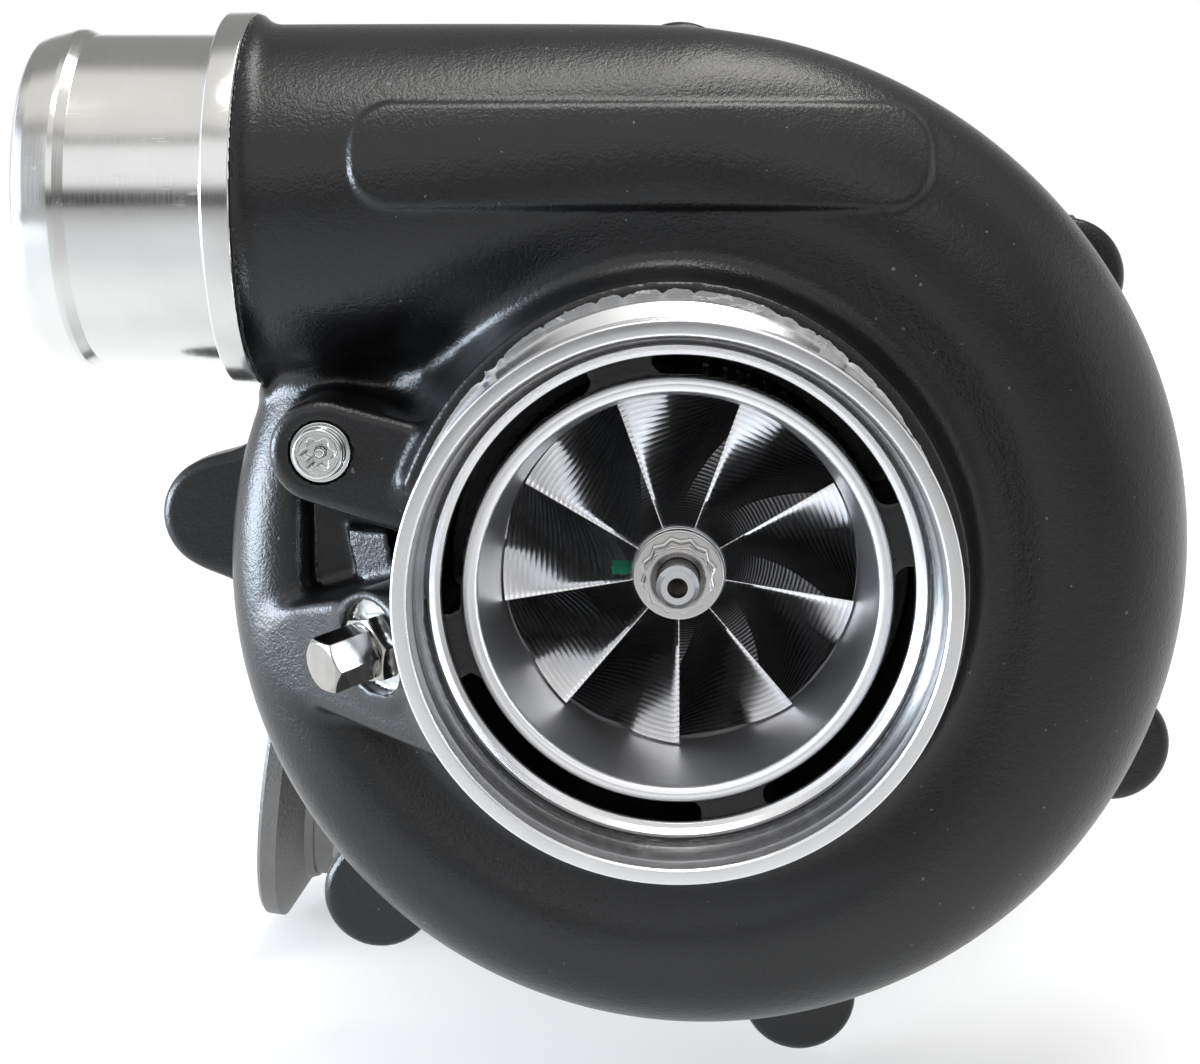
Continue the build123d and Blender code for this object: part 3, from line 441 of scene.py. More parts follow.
def wheel_metal():
    """Five-axis milled aluminium: fine cutter lines that follow the passage, from the UV map."""
    m, nt, b = new_mat("milled_aluminium")
    uv = N(nt, "ShaderNodeUVMap", uv_map="UVMap").outputs[0]
    sep = N(nt, "ShaderNodeSeparateXYZ")
    nt.links.new(uv, sep.inputs[0])
    U, V, _ = sep.outputs
    # rows of the ball cutter: scallops across the span
    row = mathn(nt, "FRACT", mathn(nt, "MULTIPLY", V, 1.0))
    scal = mathn(nt, "MULTIPLY", mathn(nt, "SUBTRACT", row, 0.5), mathn(nt, "SUBTRACT", row, 0.5))
    cmb = N(nt, "ShaderNodeCombineXYZ")
    nt.links.new(mathn(nt, "MULTIPLY", mathn(nt, "FLOOR", V), 7.31), cmb.inputs[0])
    nt.links.new(mathn(nt, "MULTIPLY", U, 0.9), cmb.inputs[1])
    rowv = noise(nt, cmb.outputs[0], 1.0, 2.0, 0.6)
    co = N(nt, "ShaderNodeTexCoord").outputs["Object"]
    blotch = noise(nt, co, 120.0, 3.0, 0.5)
    col = ramp(nt, blotch, [(0.3, (0.80, 0.80, 0.81)), (0.7, (0.90, 0.90, 0.91))])
    nt.links.new(col, b.inputs["Base Color"])
    b.inputs["Metallic"].default_value = 1.0
    nt.links.new(mathn(nt, "ADD", mathn(nt, "MULTIPLY", rowv, 0.08), 0.17), b.inputs["Roughness"])
    h = mathn(nt, "ADD", mathn(nt, "MULTIPLY", scal, 4.0), mathn(nt, "MULTIPLY", rowv, 0.12))
    nt.links.new(bump(nt, h, 1.0, 0.000075), b.inputs["Normal"])
    return m


M_BLACK = black_paint()
M_TURN = turned("turned_aluminium", rough=0.25, base=(0.82, 0.82, 0.83), strength=0.05, aniso=0.3)
M_TURN_X = turned("turned_aluminium_outlet", axis="X", origin=(0, 55.0, 70.1), base=(0.70, 0.695, 0.68), rough=0.145, lines=2200.0, strength=0.06, scratches=0.8)
M_BORE = turned("bored_aluminium", rough=0.34, base=(0.95, 0.95, 0.96), lines=1700.0, strength=0.06, aniso=0.2, scratches=0.1)
M_RAW = cast_metal("raw_cast_aluminium", (0.62, 0.62, 0.62), rough=0.5, metallic=0.95, grain=900.0, strength=0.35)
M_WHEEL = wheel_metal()
M_RIM = turned("scratched_shoulder", rough=0.26, base=(0.62, 0.62, 0.62), lines=1500.0, strength=0.22, aniso=0.2, scratches=1.6)
M_DAB = plated("green_balance_mark", (0.02, 0.30, 0.16), 0.40, bump_scale=1600.0, strength=0.4, metallic=0.0)
M_NUT = turned("ground_steel", rough=0.13, base=(0.60, 0.585, 0.57), lines=5200.0, strength=0.05, aniso=0.0)
M_HOLE = plated("centre_hole_shadowed", (0.10, 0.085, 0.07), 0.5, strength=0.3)
M_ZINC = plated("zinc_plate", (0.74, 0.76, 0.74), 0.14, strength=0.12)
# darker, rougher copy of zinc_plate: painted shade that tones down the left lamp's glare on the side pieces
M_ZINC_SHADED = plated("zinc_plate_shaded_copy", (0.36, 0.365, 0.355), 0.34, strength=0.2)
M_NICKEL = plated("nickel_plate", (0.42, 0.405, 0.385), 0.15, bump_scale=1500.0, strength=0.2)
M_STEEL = turned("ground_race_steel", rough=0.16, base=(0.66, 0.66, 0.67), lines=6000.0, strength=0.06)
M_DARK = plated("black_oxide", (0.055, 0.055, 0.06), 0.38, strength=0.2, metallic=0.8)
M_IRON = cast_metal("cast_iron_core", (0.26, 0.25, 0.24), rough=0.55, grain=1000.0, strength=0.55)
M_TURB = cast_metal("cast_stainless", (0.22, 0.215, 0.21), rough=0.44, metallic=0.95, grain=1200.0, strength=0.5)
M_PLATE = cast_metal("bead_blasted_plate", (0.30, 0.30, 0.31), rough=0.40, metallic=0.9, grain=1300.0, strength=0.25)
M_TFLANGE = turned("machined_stainless", rough=0.28, base=(0.62, 0.61, 0.60), lines=2200.0, strength=0.10)
M_CERAMIC = plated("silicon_nitride", (0.05, 0.05, 0.055), 0.10, strength=0.02, metallic=0.0)
M_RUBBER = rubber("rubber_ring_black")
M_COPPER = plated("copper", (0.78, 0.42, 0.26), 0.25, strength=0.1)
M_GASKET = cast_metal("fibre_gasket", (0.10, 0.10, 0.11), rough=0.8, metallic=0.0, grain=1500.0, strength=0.4)
M_TWHEEL = cast_metal("nickel_alloy", (0.34, 0.31, 0.28), rough=0.42, metallic=0.95, grain=1400.0, strength=0.3)
M_SHIELD = plated("heat_shield_steel", (0.60, 0.55, 0.48), 0.30, strength=0.1)

SLOT_MATS = {"casting_black": M_BLACK, "alu_wheel": M_WHEEL, "steel_bright": M_STEEL, "steel_zinc": M_ZINC, "steel_dark": M_DARK, "alu_plate": M_PLATE,
             "iron_core": M_IRON, "steel_turbine": M_TURB, "ceramic": M_CERAMIC, "rubber_ring": M_RUBBER, "copper_washer": M_COPPER,
             "gasket_fibre": M_GASKET, "turbine_wheel": M_TWHEEL}
NODE_SLOT = {s["node"]: s["material_slot"] for s in frame["record"]["subparts"]}
for name, ob in NODES.items():
    ob.data.materials.clear()
    ob.data.materials.append(SLOT_MATS[NODE_SLOT[name]])
    ob.data.polygons.foreach_set("use_smooth", np.ones(len(ob.data.polygons), bool))
    ob.data.set_sharp_from_angle(angle=math.radians(28))
NODES["heat_shield"].data.materials[0] = M_SHIELD
# the side zinc pieces take the darker copy of the plating, a painted shade
for name in ("compressor_clamp_plates", "compressor_clamp_screws", "oil_inlet_fitting", "oil_drain_screws", "coolant_plugs"):
    NODES[name].data.materials[0] = M_ZINC_SHADED
sh = NODES["turbine_wheel_shaft"].data
sh.materials.append(M_STEEL)
cy = np.empty(len(sh.polygons) * 3, np.float32)
sh.polygons.foreach_get("center", cy)
cy = cy.reshape(-1, 3)
sh.materials.append(M_HOLE)
hole = (cy[:, 1] < 0.030) & (np.hypot(cy[:, 0], cy[:, 2]) < 0.00188) & (cy[:, 1] > 0.0193)
sh.polygons.foreach_set("material_index", np.where(hole, 2, (cy[:, 1] < 0.148).astype(int)).astype(np.int32))

# ---------------------------------------------------------------------------
# compressor housing casting: one organic black casting
# ---------------------------------------------------------------------------
WALL = 4.5
R_OUT = poly_field(5, [125, 150, 175, 200, 240, 250, 260, 270, 300, 310, 330, 350, 360, 370, 390, 410, 430, 450, 470],
                   [88.5, 89.6, 90.1, 90.2, 92.5, 93.4, 94.3, 95.2, 96.8, 97.5, 98.0, 97.8, 97.7, 98.3, 99.4, 100.3, 102.0, 103.2, 104.2])
R_TUBE = poly_field(3, [130, 185, 225, 270, 315, 360, 405, 450], [9.6, 14.0, 17.0, 19.8, 21.8, 23.8, 25.3, 26.6])
Y_TUBE = poly_field(3, [130, 185, 225, 270, 315, 360, 405, 450], [59.5, 57.0, 55.0, 53.5, 52.0, 51.0, 50.4, 50.0])
LOBE_ANG = [90.0, 35.0, -22.0, -77.0, -131.6, 177.0]
LOBE_POS = [(-0.8, 93.2), (77.0, 54.5), (89.5, -42.0), (25.5, -97.5), (-63.7, -76.2), (-95.9, 5.0)]
OUT_Y, OUT_Z = 55.0, 70.1
FL_X0, FL_X1 = -81.6, -87.2


def sstep(a, b, v):
    t = np.clip((v - a) / (b - a), 0, 1)
    return t * t * (3 - 2 * t)


def casting():
    h = 0.62 * FINE
    X, Y, Z, o = grid(-110.5, 110, 9.5, 85.5, -111, 110, h)
    R = np.hypot(X, Z)
    th = np.degrees(np.arctan2(Z, X)) + 0 * X
    th = np.where(th < 112, th + 360, th)
    r = R_TUBE(th)
    rc = R_OUT(th) - r
    yc = Y_TUBE(th)
    start = np.clip((146 - th) / 18.0, 0, 1)
    ring = np.hypot(R - rc, Y - yc) - r + start * 7.0
    ring_in = np.hypot(R - rc, Y - yc) - (r - WALL) + start * 5.0
    # straight outlet, which takes over from the scroll at the top
    u = np.clip(-X / 84.0, 0, 1)
    us = u * u * (3 - 2 * u)
    ro = 26.6 + (33.6 - 26.6) * us ** 0.75
    zc = 76.6 + (OUT_Z - 76.6) * us ** 0.8
    yo = 50.0 + (OUT_Y - 50.0) * u
    flare = 2.4 * np.clip((-X - 76.8) / 4.8, 0, 1) ** 2.4
    dx = np.maximum(X - 12, 0)
    axis_d = np.sqrt(dx * dx + (Y - yo) ** 2 + (Z - zc) ** 2)
    out = np.maximum(axis_d - (ro + flare), FL_X0 - X)
    out_in = axis_d - (ro - WALL)
    pa = np.degrees(np.arctan2(Z, X))
    right = (pa > -90) & (pa < 112)
    w = sstep(-11.0, 11.0, -X) * (Z > 0)
    tube = np.where(right, ring * (1 - w) + out * w, smin(ring, out, 6.0))
    tube_in = np.where(right, ring_in * (1 - w) + out_in * w, smin(ring_in, out_in, 3.0))
    # plain raised pad along the top, left blank
    pad = np.hypot(np.maximum(np.abs(X + 7.0) - 45.0, 0), np.maximum(np.abs(Z - 78.8) - 1.5, 0)) - 8.0
    pad_w = sstep(0.7, -0.7, pad) * (Y < 50)
    tube = tube - 0.9 * pad_w
    # pedestal round the inlet collar; thicker at the top where the outlet rises behind it
    top = np.exp(-(((np.where(th > 292, th - 360, th)) - 95) / 46.0) ** 2)
    left = np.exp(-((th - 200) / 60.0) ** 2)
    rb = np.interp(Y, [9, 14, 20, 28, 36, 44, 52, 60, 68], [52.6, 53.0, 53.8, 55.2, 57.4, 60.5, 66.0, 74.0, 84.0])
    ped = (R - rb - 3.9 * top * np.clip((44 - Y) / 30, 0, 1)) * 0.93
    ped = np.maximum(ped, 11.4 - Y)
    ped = smax(ped, Y - 80.0, 2.0)
    f = smin(tube, ped, 11.0)
    # recess between the arm and the web
    pocket = np.hypot(np.maximum(np.abs(X + 58.5) - 8.5, 0), np.maximum(np.abs(Z - 4.5) - 7.0, 0)) - 5.0
    f = smax(f, -np.maximum(pocket + 0 * Y, Y - 47.0 + 0.05 * (X + 58)), 4.5)
    # slanted web that carries the boost port, with a crisp ridge along its upper edge
    d = BP_DIR
    px, py, pz = X - BP_BASE[0], Y - BP_BASE[1], Z - BP_BASE[2]
    al = px * d[0] + py * d[1] + pz * d[2]
    rr = np.sqrt(np.maximum(px * px + py * py + pz * pz - al * al, 0))
    wn = np.array([-0.66, -0.745, -0.10])
    wn /= np.linalg.norm(wn)
    wp = BP_BASE + BP_DIR * 5.0
    plane = (X - wp[0]) * wn[0] + (Y - wp[1]) * wn[1] + (Z - wp[2]) * wn[2]
    web = capsule2(X, Z, -71.0, -17.0, 11.0, -44.0, -16.0, 16.0) + 0 * Y
    web = smax(web, plane, 3.0)
    web = smax(web, Z + 4.0 - 0.33 * (X + 63.5), 0.9)
    web = smax(web, Y - 62, 1.0)
    f = smin(f, web, 3.4)
    # boss of the boost port, flush with the web
    boss = smax(np.maximum(rr - 10.6, -26 - al), al - 4.8, 1.2)
    f = smin(f, boss, 3.0)
    # arm with the sensor port
    arm2 = capsule2(X, Z, -66.6, 24.2, 9.8, -44.0, 17.4, 10.6)
    arm = ext(arm2 + 0 * Y, 23.6 + 0.03 * (X + 66) - Y, 2.3)
    arm = smax(arm, Y - 60, 1.0)
    f = smin(f, arm, 3.2)
    # small slanted lump in the recess beside the collar
    lump = np.maximum(np.maximum(np.abs(X + 59.6 + 0.22 * (Z - 2)) - 3.2, np.abs(Z - 2.1) - 3.8), 42.0 - Y - 0.45 * (X + 60)) - 0.9
    lump = smax(lump, Y - 62, 1.0)
    f = smin(f, lump, 2.0)
    # lobed rear flange
    d2 = R - 89.6
    for lx, lz in LOBE_POS:
        d2 = smin(d2, np.hypot(X - lx, Z - lz) - 11.9, 13.0)
    disc = ext(d2 + 0 * Y, np.abs(Y - 78.0) - 6.0, 2.2)
    f = smin(f, disc, 5.0)
    f = np.maximum(f, np.where(R < 90.3, Y - 84.0, -50.0))
    # collar seat: everything inside the shoulder is cut at the shoulder's plane
    f = np.maximum(f, np.minimum(11.4 - Y, 57.5 - R))
    # hollow inside
    cav = tube_in
    cav = np.minimum(cav, np.maximum(np.maximum(R - 66.0, 61.3 - Y), Y - 66.5))
    cav = np.minimum(cav, np.maximum(R - 70.1, 66.5 - Y))
    cav = np.minimum(cav, np.maximum(R - 87.0, 80.0 - Y))
    # bore for the separate shroud ring and slots of the recirculation groove
    cav = np.minimum(cav, np.maximum(R - 39.4, -60.0 + 0 * Y))
    cav = np.minimum(cav, np.maximum(R - 45.6, Y - 16.6))
    ang = np.degrees(np.arctan2(Z, X))
    da = np.abs((ang - 104.5 + 45) % 90 - 45)           # angle from the nearest strut
    arc = (8.5 - da) * np.pi / 180 * 42.3                # >0 inside a strut's width
    slot2 = np.hypot(np.maximum(arc + 2.2, 0), R - 42.35) - 2.45
    slot = np.maximum(slot2 + 0 * Y, Y - 47.0)
    cav = np.minimum(cav, slot)
    # sensor port counterbore
    cb = np.maximum(np.hypot(X + 66.6, Z - 24.2) - 5.95, Y - 25.2)
    cav = np.minimum(cav, cb)
    # lobe holes from the rear
    for a in LOBE_ANG:
        t = math.radians(a)
        cav = np.minimum(cav, np.maximum(np.hypot(X - 96 * math.cos(t), Z - 96 * math.sin(t)) - 4.0, 74.0 - Y))
    # spot face of the boost port
    cav = np.minimum(cav, np.maximum(rr - 9.2, SPOT_AL - al))
    cav = np.minimum(cav, np.maximum(rr - 4.2, -9.4 - al))
    f = np.maximum(f, -cav)
    V, F = surface_nets(f, o, h)
    # material: bare metal inside the scroll, in the spot face and on the machined rear
    c = V[F].mean(1)
    x, y, z = c.T
    Rr = np.hypot(x, z)
    tt = np.degrees(np.arctan2(z, x))
    tt = np.where(tt < 112, tt + 360, tt)
    inside = (np.hypot(Rr - (R_OUT(tt) - R_TUBE(tt)), y - Y_TUBE(tt)) < R_TUBE(tt) - WALL + 0.6) & (Rr > 47)
    uu = np.clip(-x / 84.0, 0, 1)
    rro = 26.6 + (33.6 - 26.6) * (uu * uu * (3 - 2 * uu)) ** 0.75
    zz = 76.6 + (OUT_Z - 76.6) * (uu * uu * (3 - 2 * uu)) ** 0.8
    inside |= (x < 0) & (np.hypot(y - (50.0 + 5.0 * uu), z - zz) < rro - WALL + 0.6)
    inside |= (Rr < 86.9) & (y > 60.5) & (Rr < 70.6)
    inside |= (Rr < 87.6) & (y > 79.5)
    px, py, pz = x - BP_BASE[0], y - BP_BASE[1], z - BP_BASE[2]
    al = px * d[0] + py * d[1] + pz * d[2]
    rr = np.sqrt(np.maximum(px * px + py * py + pz * pz - al * al, 0))
    spot = (rr < 9.05) & (np.abs(al - SPOT_AL) < 0.5)
    mat = np.where(inside, 1, 0)
    mat[spot] = 2
    return make("compressor_casting", V, F, [M_BLACK, M_RAW, M_SPOT], sharp=42.0, face_mat=mat, replaces=["compressor_housing"], slot="casting_black")


BP_DIR = np.array([-math.sin(math.radians(47)), -math.cos(math.radians(47)), -0.18])
BP_DIR /= np.linalg.norm(BP_DIR)
BP_BASE = np.array([-53.3, 26.5, -11.5])
SPOT_AL = 3.2
M_SPOT = cast_metal("spot_faced_aluminium", (0.80, 0.80, 0.79), rough=0.34, metallic=1.0, grain=700.0, strength=0.35, tint=(0.45, 0.45, 0.45))
casting()

# ---------------------------------------------------------------------------
# turned inlet collar with its ragged shoulder at the top
# ---------------------------------------------------------------------------
rng = np.random.default_rng(7)
jag = np.cumsum(rng.normal(0, 0.035, 720))
jag = jag - np.linspace(jag[0], jag[-1], 720)
jag = jag - jag.mean()
chips = np.zeros(720)
fine_jag = np.abs(rng.normal(0, 0.10, 720)) + 0.35 * (rng.random(720) > 0.965)
for k in rng.integers(0, 720, 46):
    w = rng.uniform(0.6, 2.6)
    chips -= rng.uniform(0.15, 0.75) * np.exp(-((np.arange(720) - k) / w) ** 2)


def shoulder(k, th):
    if k not in SHOULDER_PTS:
        return 0 * th
    d = (np.degrees(th) + 180) % 360 - 180
    top = np.exp(-((d - 95) / 46.0) ** 2)
    i = (np.degrees(th) * 2).astype(int) % 720
    if k == len(prof) - 1:
        return np.maximum(2.7 * top - 0.3, 0.0)
    return np.maximum(5.0 * top + (0.5 * jag[i] + chips[i] + fine_jag[i]) * np.clip(top * 2.2, 0, 1) - 0.6, 0.0)


collar_prof = [(50.8, 10.9), (50.8, 0.35), (50.5, 0.0), (48.3, 0.0), (47.9, 0.4), (47.2, 3.2), (46.5, 9.6), (46.1, 11.8), (45.3, 13.5), (44.3, 14.5), (43.5, 14.9), (43.25, 15.3), (43.25, 16.4), (48.5, 16.4), (49.5, 12.2), (50.9, 12.2)]
prof = rounded(collar_prof, [0.25, 0.3, 0.3, 0.25, 0.3, 1.0, 0.8, 0.8, 0.6, 0.4, 0.15, 0.15, 0.2, 0.2, 0.1, 0.1], steps=3)
prof = [(50.8, 8.5)] + [p for p in prof if not (abs(p[0] - 50.8) < 0.3 and p[1] > 8.4) and not (p[1] > 12.0 and p[0] > 50.5)] + [(50.9, 12.1), (51.0, 11.9), (51.0, 11.35), (50.82, 11.2)]
SHOULDER_PTS = (len(prof) - 3, len(prof) - 2, len(prof) - 1)
V, F = revolve(prof, segs=720, radius_fn=shoulder)
fc = V[F].mean(1)
rim = (fc[:, 1] > 11.15) & (fc[:, 1] < 12.05) & (np.hypot(fc[:, 0], fc[:, 2]) > 50.84)
make("inlet_collar", V, F, [M_TURN, M_RIM], face_mat=rim.astype(int), sharp=25.0, replaces=["compressor_housing"], slot="casting_black")

# shroud ring: rounded lip, tapered mouth, cylindrical bore; and the rear shroud with its contour
shr = [(39.35, 40.0), (39.45, 17.0), (39.5, 15.8)]
for k in range(0, 9):
    a = math.radians(0 + 180 * k / 8)
    shr.append((38.0 + 1.5 * math.cos(a), 15.4 - 1.4 * math.sin(a)))
shr += [(36.3, 17.5), (35.2, 25.0), (34.55, 33.0), (34.4, 36.5), (34.4, 43.4), (37.6, 43.4)]
V, F = revolve(shr, segs=384)
make("shroud_ring", V, F, M_BORE, sharp=30.0, replaces=["compressor_housing"], slot="casting_black")
rear = [(39.4, 46.6), (34.5, 46.6)]
for k in range(1, 13):
    t = (math.pi / 2) * (0.28 + 0.72 * k / 12)
    rear.append((34.0 + 10.6 * (1 - math.cos(t)) + 0.35, 43.0 + 18.9 * math.sin(t) - 0.3))
rear += [(46.0, 61.5), (46.0, 55.0), (41.0, 50.0)]
V, F = revolve(rear, segs=256)
make("shroud_contour", V, F, M_BORE, sharp=30.0, replaces=["compressor_housing"], slot="casting_black")

# ---------------------------------------------------------------------------
# turned outlet: flange and hose spigot with bead and tapered lip
# ---------------------------------------------------------------------------
op = [(35.9, 82.0), (35.9, 86.8), (35.5, 87.2), (32.5, 87.3), (31.75, 88.0), (31.75, 113.1), (32.75, 115.0), (32.85, 116.0), (32.5, 117.4), (31.6, 121.0), (31.0, 122.8),
      (30.2, 123.5), (29.4, 123.3), (29.0, 122.2), (29.0, 84.0), (29.0, 81.6), (35.5, 81.6)]
prof = rounded(op, [0.3, 0.3, 0.2, 0.3, 0.3, 0.2, 0.2, 0.4, 0.6, 0.8, 0.5, 0.4, 0.3, 0.5, 0.2, 0.1, 0.2], steps=3)
V, F = revolve(prof, segs=320, axis="-X", origin=(0, OUT_Y, OUT_Z))
make("outlet_spigot", V, F, M_TURN_X, sharp=25.0, replaces=["compressor_housing"], slot="casting_black")


# ---------------------------------------------------------------------------
# compressor wheel
# ---------------------------------------------------------------------------
def hub_pt(s):
    t = s * math.pi / 2
    return 9.2 + (44.0 - 9.2) * (1 - math.cos(t)), 36.8 + (66.4 - 36.8) * math.sin(t)


def tip_pt(s):
    if s < 0.2:
        return 34.0, 38.0 + 5.0 * s / 0.2
    t = (s - 0.2) / 0.8 * math.pi / 2
    return 34.0 + 10.0 * (1 - math.cos(t)), 43.0 + 18.9 * math.sin(t)


def wrap(s, v):
    w = 46.0 * (1 - (1 - s) ** 1.7) + 12.0 * s ** 3
    return -(w * (1 + 0.10 * (v - 0.5) * (1 - s)))


def wheel():
    nu, nv = (40, 30) if FINE > 1 else (64, 52)
    V, F, UV = [], [], []
    for b in range(9):
        base = -89.7 + 40.0 * b
        off = len(V)
        rows = []
        for side in (1, -1):
            for i in range(nu + 1):
                s = i / nu
                rh, yh = hub_pt(s)
                rt, yt = tip_pt(s)
                for j in range(nv + 1):
                    v = j / nv
                    vv = -0.06 + 1.06 * v
                    rr, yy = rh + (rt - rh) * vv, yh + (yt - yh) * vv
                    # rounded leading edge: thickness shrinks at the ends
                    half = 0.50 - 0.18 * v + (0.55 - 0.25 * v) * min(1.0, s * 3.0)
                    e = min(1.0, s / 0.035) if s < 0.035 else min(1.0, (1 - s) / 0.02)
                    half *= math.sqrt(max(0.0, 1 - (1 - e) ** 2)) * 0.85 + 0.15
                    # fillet at the root
                    half += 1.2 * max(0.0, 0.06 - v) / 0.06 * min(1.0, 0.25 + s * 4.0)
                    a = math.radians(base + wrap(s, v))
                    n = (-math.sin(a), math.cos(a))
                    V.append((rr * math.cos(a) + side * half * n[0], yy, rr * math.sin(a) + side * half * n[1]))
                    UV.append((s * 30.0, v * 25.0))
        W = nv + 1
        S = (nu + 1) * W
        for i in range(nu):
            for j in range(nv):
                a = off + i * W + j
                F.append((a, a + 1, a + W + 1, a + W))
                c = a + S
                F.append((c, c + W, c + W + 1, c + 1))
        for i in range(nu):
            a = off + i * W + nv
            F.append((a, a + S, a + S + W, a + W))
            a = off + i * W
            F.append((a, a + W, a + S + W, a + S))
        for j in range(nv):
            a = off + j
            F.append((a, a + S, a + S + 1, a + 1))
            a = off + nu * W + j
            F.append((a, a + 1, a + S + 1, a + S))
    V, F, UV = np.array(V), np.array(F), np.array(UV)
    P = V[F]
    vol = np.einsum("ij,ij->i", P[:, 0], np.cross(P[:, 1], P[:, 2])).sum() + np.einsum("ij,ij->i", P[:, 0], np.cross(P[:, 2], P[:, 3])).sum()
    if vol < 0:
        F = F[:, ::-1]
    # hub
    prof = [(4.02, 35.25), (8.4, 35.25), (8.8, 35.6)]
    prof += [hub_pt(s) for s in np.linspace(0.0, 1.0, 30)]
    prof += [(44.0, 67.5), (43.7, 67.8), (16.0, 67.8), (12.5, 68.15), (4.02, 68.15)]
    HV, HF = revolve(prof, segs=360)
    n = len(prof)
    ang = np.repeat(np.arange(360), n)
    seg = np.tile(np.arange(n), 360)
    HUV = np.stack([seg * 1.0, ang * 1.0 * 0.0 + seg * 1.7], -1)
    allV = np.concatenate([V, HV])
    allF = np.concatenate([F, HF + len(V)])
    allUV = np.concatenate([UV, HUV])
    fc = allV[allF].mean(1)
    dab = (fc[:, 0] > -13.0 + 0.35 * np.sin(7.0 * fc[:, 2])) & (fc[:, 0] < -9.7) & (fc[:, 2] > -0.9) & (fc[:, 2] < 0.9) & (fc[:, 1] < 47)
    return make("compressor_wheel_milled", allV, allF, [M_WHEEL, M_DAB], face_mat=dab.astype(int),  sharp=45.0, body="rotor", replaces=["compressor_wheel"], slot="alu_wheel", uv=allUV)


wheel()


# ---------------------------------------------------------------------------
# small turned and hexagonal pieces, from distance fields at fine spacing
# ---------------------------------------------------------------------------
def ngon(A, B, n, apothem, phase=0.0):
    ang = np.arctan2(B, A) + phase
    k = np.round(ang / (2 * np.pi / n)) * (2 * np.pi / n)
    return np.hypot(A, B) * np.cos(ang - k) - apothem


def star12(A, B, apothem, phase=0.0):
    return np.minimum(ngon(A, B, 6, apothem, phase), ngon(A, B, 6, apothem, phase + math.pi / 6))


def frame_of(d, up=(0, 0, 1)):
    d = np.array(d, float)
    d /= np.linalg.norm(d)
    u = np.cross(np.array(up, float), d)
    u /= np.linalg.norm(u)
    w = np.cross(d, u)
    return d, u, w


def sdf_piece(name, fn, origin, d, size, h, mat, up=(0, 0, 1), **kw):
    """fn(A, B, C) -> distance in a local frame where C runs along d from origin. size: (half A, half B, C low, C high)."""
    h = h * FINE
    ha, hb, c0, c1 = size
    A, B, C, o = grid(-ha, ha, -hb, hb, c0, c1, h)
    f = fn(A, B, C) + 0 * A + 0 * B + 0 * C
    V, F = surface_nets(f, o, h)
    dd, u, w = frame_of(d, up)
    W = V[:, :1] * u + V[:, 1:2] * w + V[:, 2:] * dd + np.array(origin, float)
    P = W[F]
    vol = np.einsum("ij,ij->i", P[:, 0], np.cross(P[:, 1], P[:, 2])).sum() + np.einsum("ij,ij->i", P[:, 0], np.cross(P[:, 2], P[:, 3])).sum()
    if vol < 0:
        F = F[:, ::-1]
    return make(name, W, F, mat, sharp=kw.pop("sharp", 35.0), **kw)


def nut_fn(A, B, C):
    # C runs along +Y from the shaft's centre line point y = 27.6
    R = np.hypot(A, B)
    pts = ext(star12(A, B, 5.85, 0.2), np.abs(C - 2.9) - 2.9, 0.25)
    pts = smax(pts, (R - 6.35) * 0.6 + (0.0 - C) * 0.8, 0.2)      # chamfered corners at the front
    fl = ext(R - 8.66, np.abs(C - 6.5) - 1.1, 0.35)
    cone = smax(R - 7.9, 4.6 + 0.0 - C, 0.3)
    f = smin(pts, fl, 0.8)
    bore = np.maximum(R - 4.06, -60.0)
    cs = R - 5.3 + C * 0.9
    return np.maximum(f, -np.minimum(bore, cs))


sdf_piece("shaft_nut", nut_fn, (0, 27.6, 0), (0, 1, 0), (9.2, 9.2, -0.6, 8.2), 0.13, M_NUT, body="rotor", replaces=["compressor_nut"], slot="steel_bright")


def torx_fn(A, B, C):
    # C points out of the housing; 0 is the seat
    R = np.hypot(A, B)
    washer = ext(R - 5.7, np.abs(C - 0.5) - 0.75, 0.25)
    head = ext(R - 4.75, np.abs(C - 2.2) - 2.1, 0.45)
    f = smin(washer, head, 0.35)
    shank = np.maximum(R - 3.0, np.maximum(C - 0.5, -12.0 - C))
    f = np.minimum(f, shank)
    ang = np.arctan2(B, A)
    torx = R - (2.75 + 0.45 * np.cos(6 * ang))
    sock = np.maximum(torx, 0.2 - C)
    f = smax(f, -sock, 0.2)
    pin = ext(R - 1.05, np.abs(C - 1.2) - 1.5, 0.5)
    f = smin(f, pin, 0.3)
    ring = np.abs(R - 3.85) - 0.22
    f = np.maximum(f, -np.maximum(ring, 3.9 - C))
    return f


sdf_piece("speed_port_torx", torx_fn, (-66.6, 25.2, 24.2), (0, -1, 0), (6.6, 6.6, -12.5, 5.2), 0.12, M_ZINC, replaces=["speed_port_screw"], slot="steel_zinc")


def adapter_fn(A, B, C):
    R = np.hypot(A, B)
    hx = ext(ngon(A, B, 6, 6.0, 0.35), np.abs(C - 5.6) - 1.9, 0.15)
    hx = smax(hx, (R - 6.1) * 0.5 + (C - 7.5) * 0.87, 0.15)
    neck = ext(R - 4.9, np.abs(C - 4.2) - 3.9, 0.3)
    f = np.minimum(hx, neck)
    th = np.maximum(R - 4.0, np.maximum(C - 0.5, -9.3 - C))
    f = np.minimum(f, th)
    return np.maximum(f, -np.maximum(R - 2.6, -2.0 - C))


sdf_piece("boost_adapter_hex", adapter_fn, BP_BASE, BP_DIR, (7.8, 7.8, -9.8, 8.2), 0.14, M_NICKEL, replaces=["boost_port_adapter"], slot="steel_bright")


def plug_fn(A, B, C):
    R = np.hypot(A, B)
    hx = ext(ngon(A, B, 6, 4.85, 0.62), np.abs(C - 12.4) - 4.8, 0.22)
    hx = smax(hx, (R - 4.55) * 0.5 + (C - 17.2) * 0.87, 0.12)
    th = np.maximum(R - 2.5, np.maximum(C - 8, 0.0 - C))
    return np.minimum(hx, th)


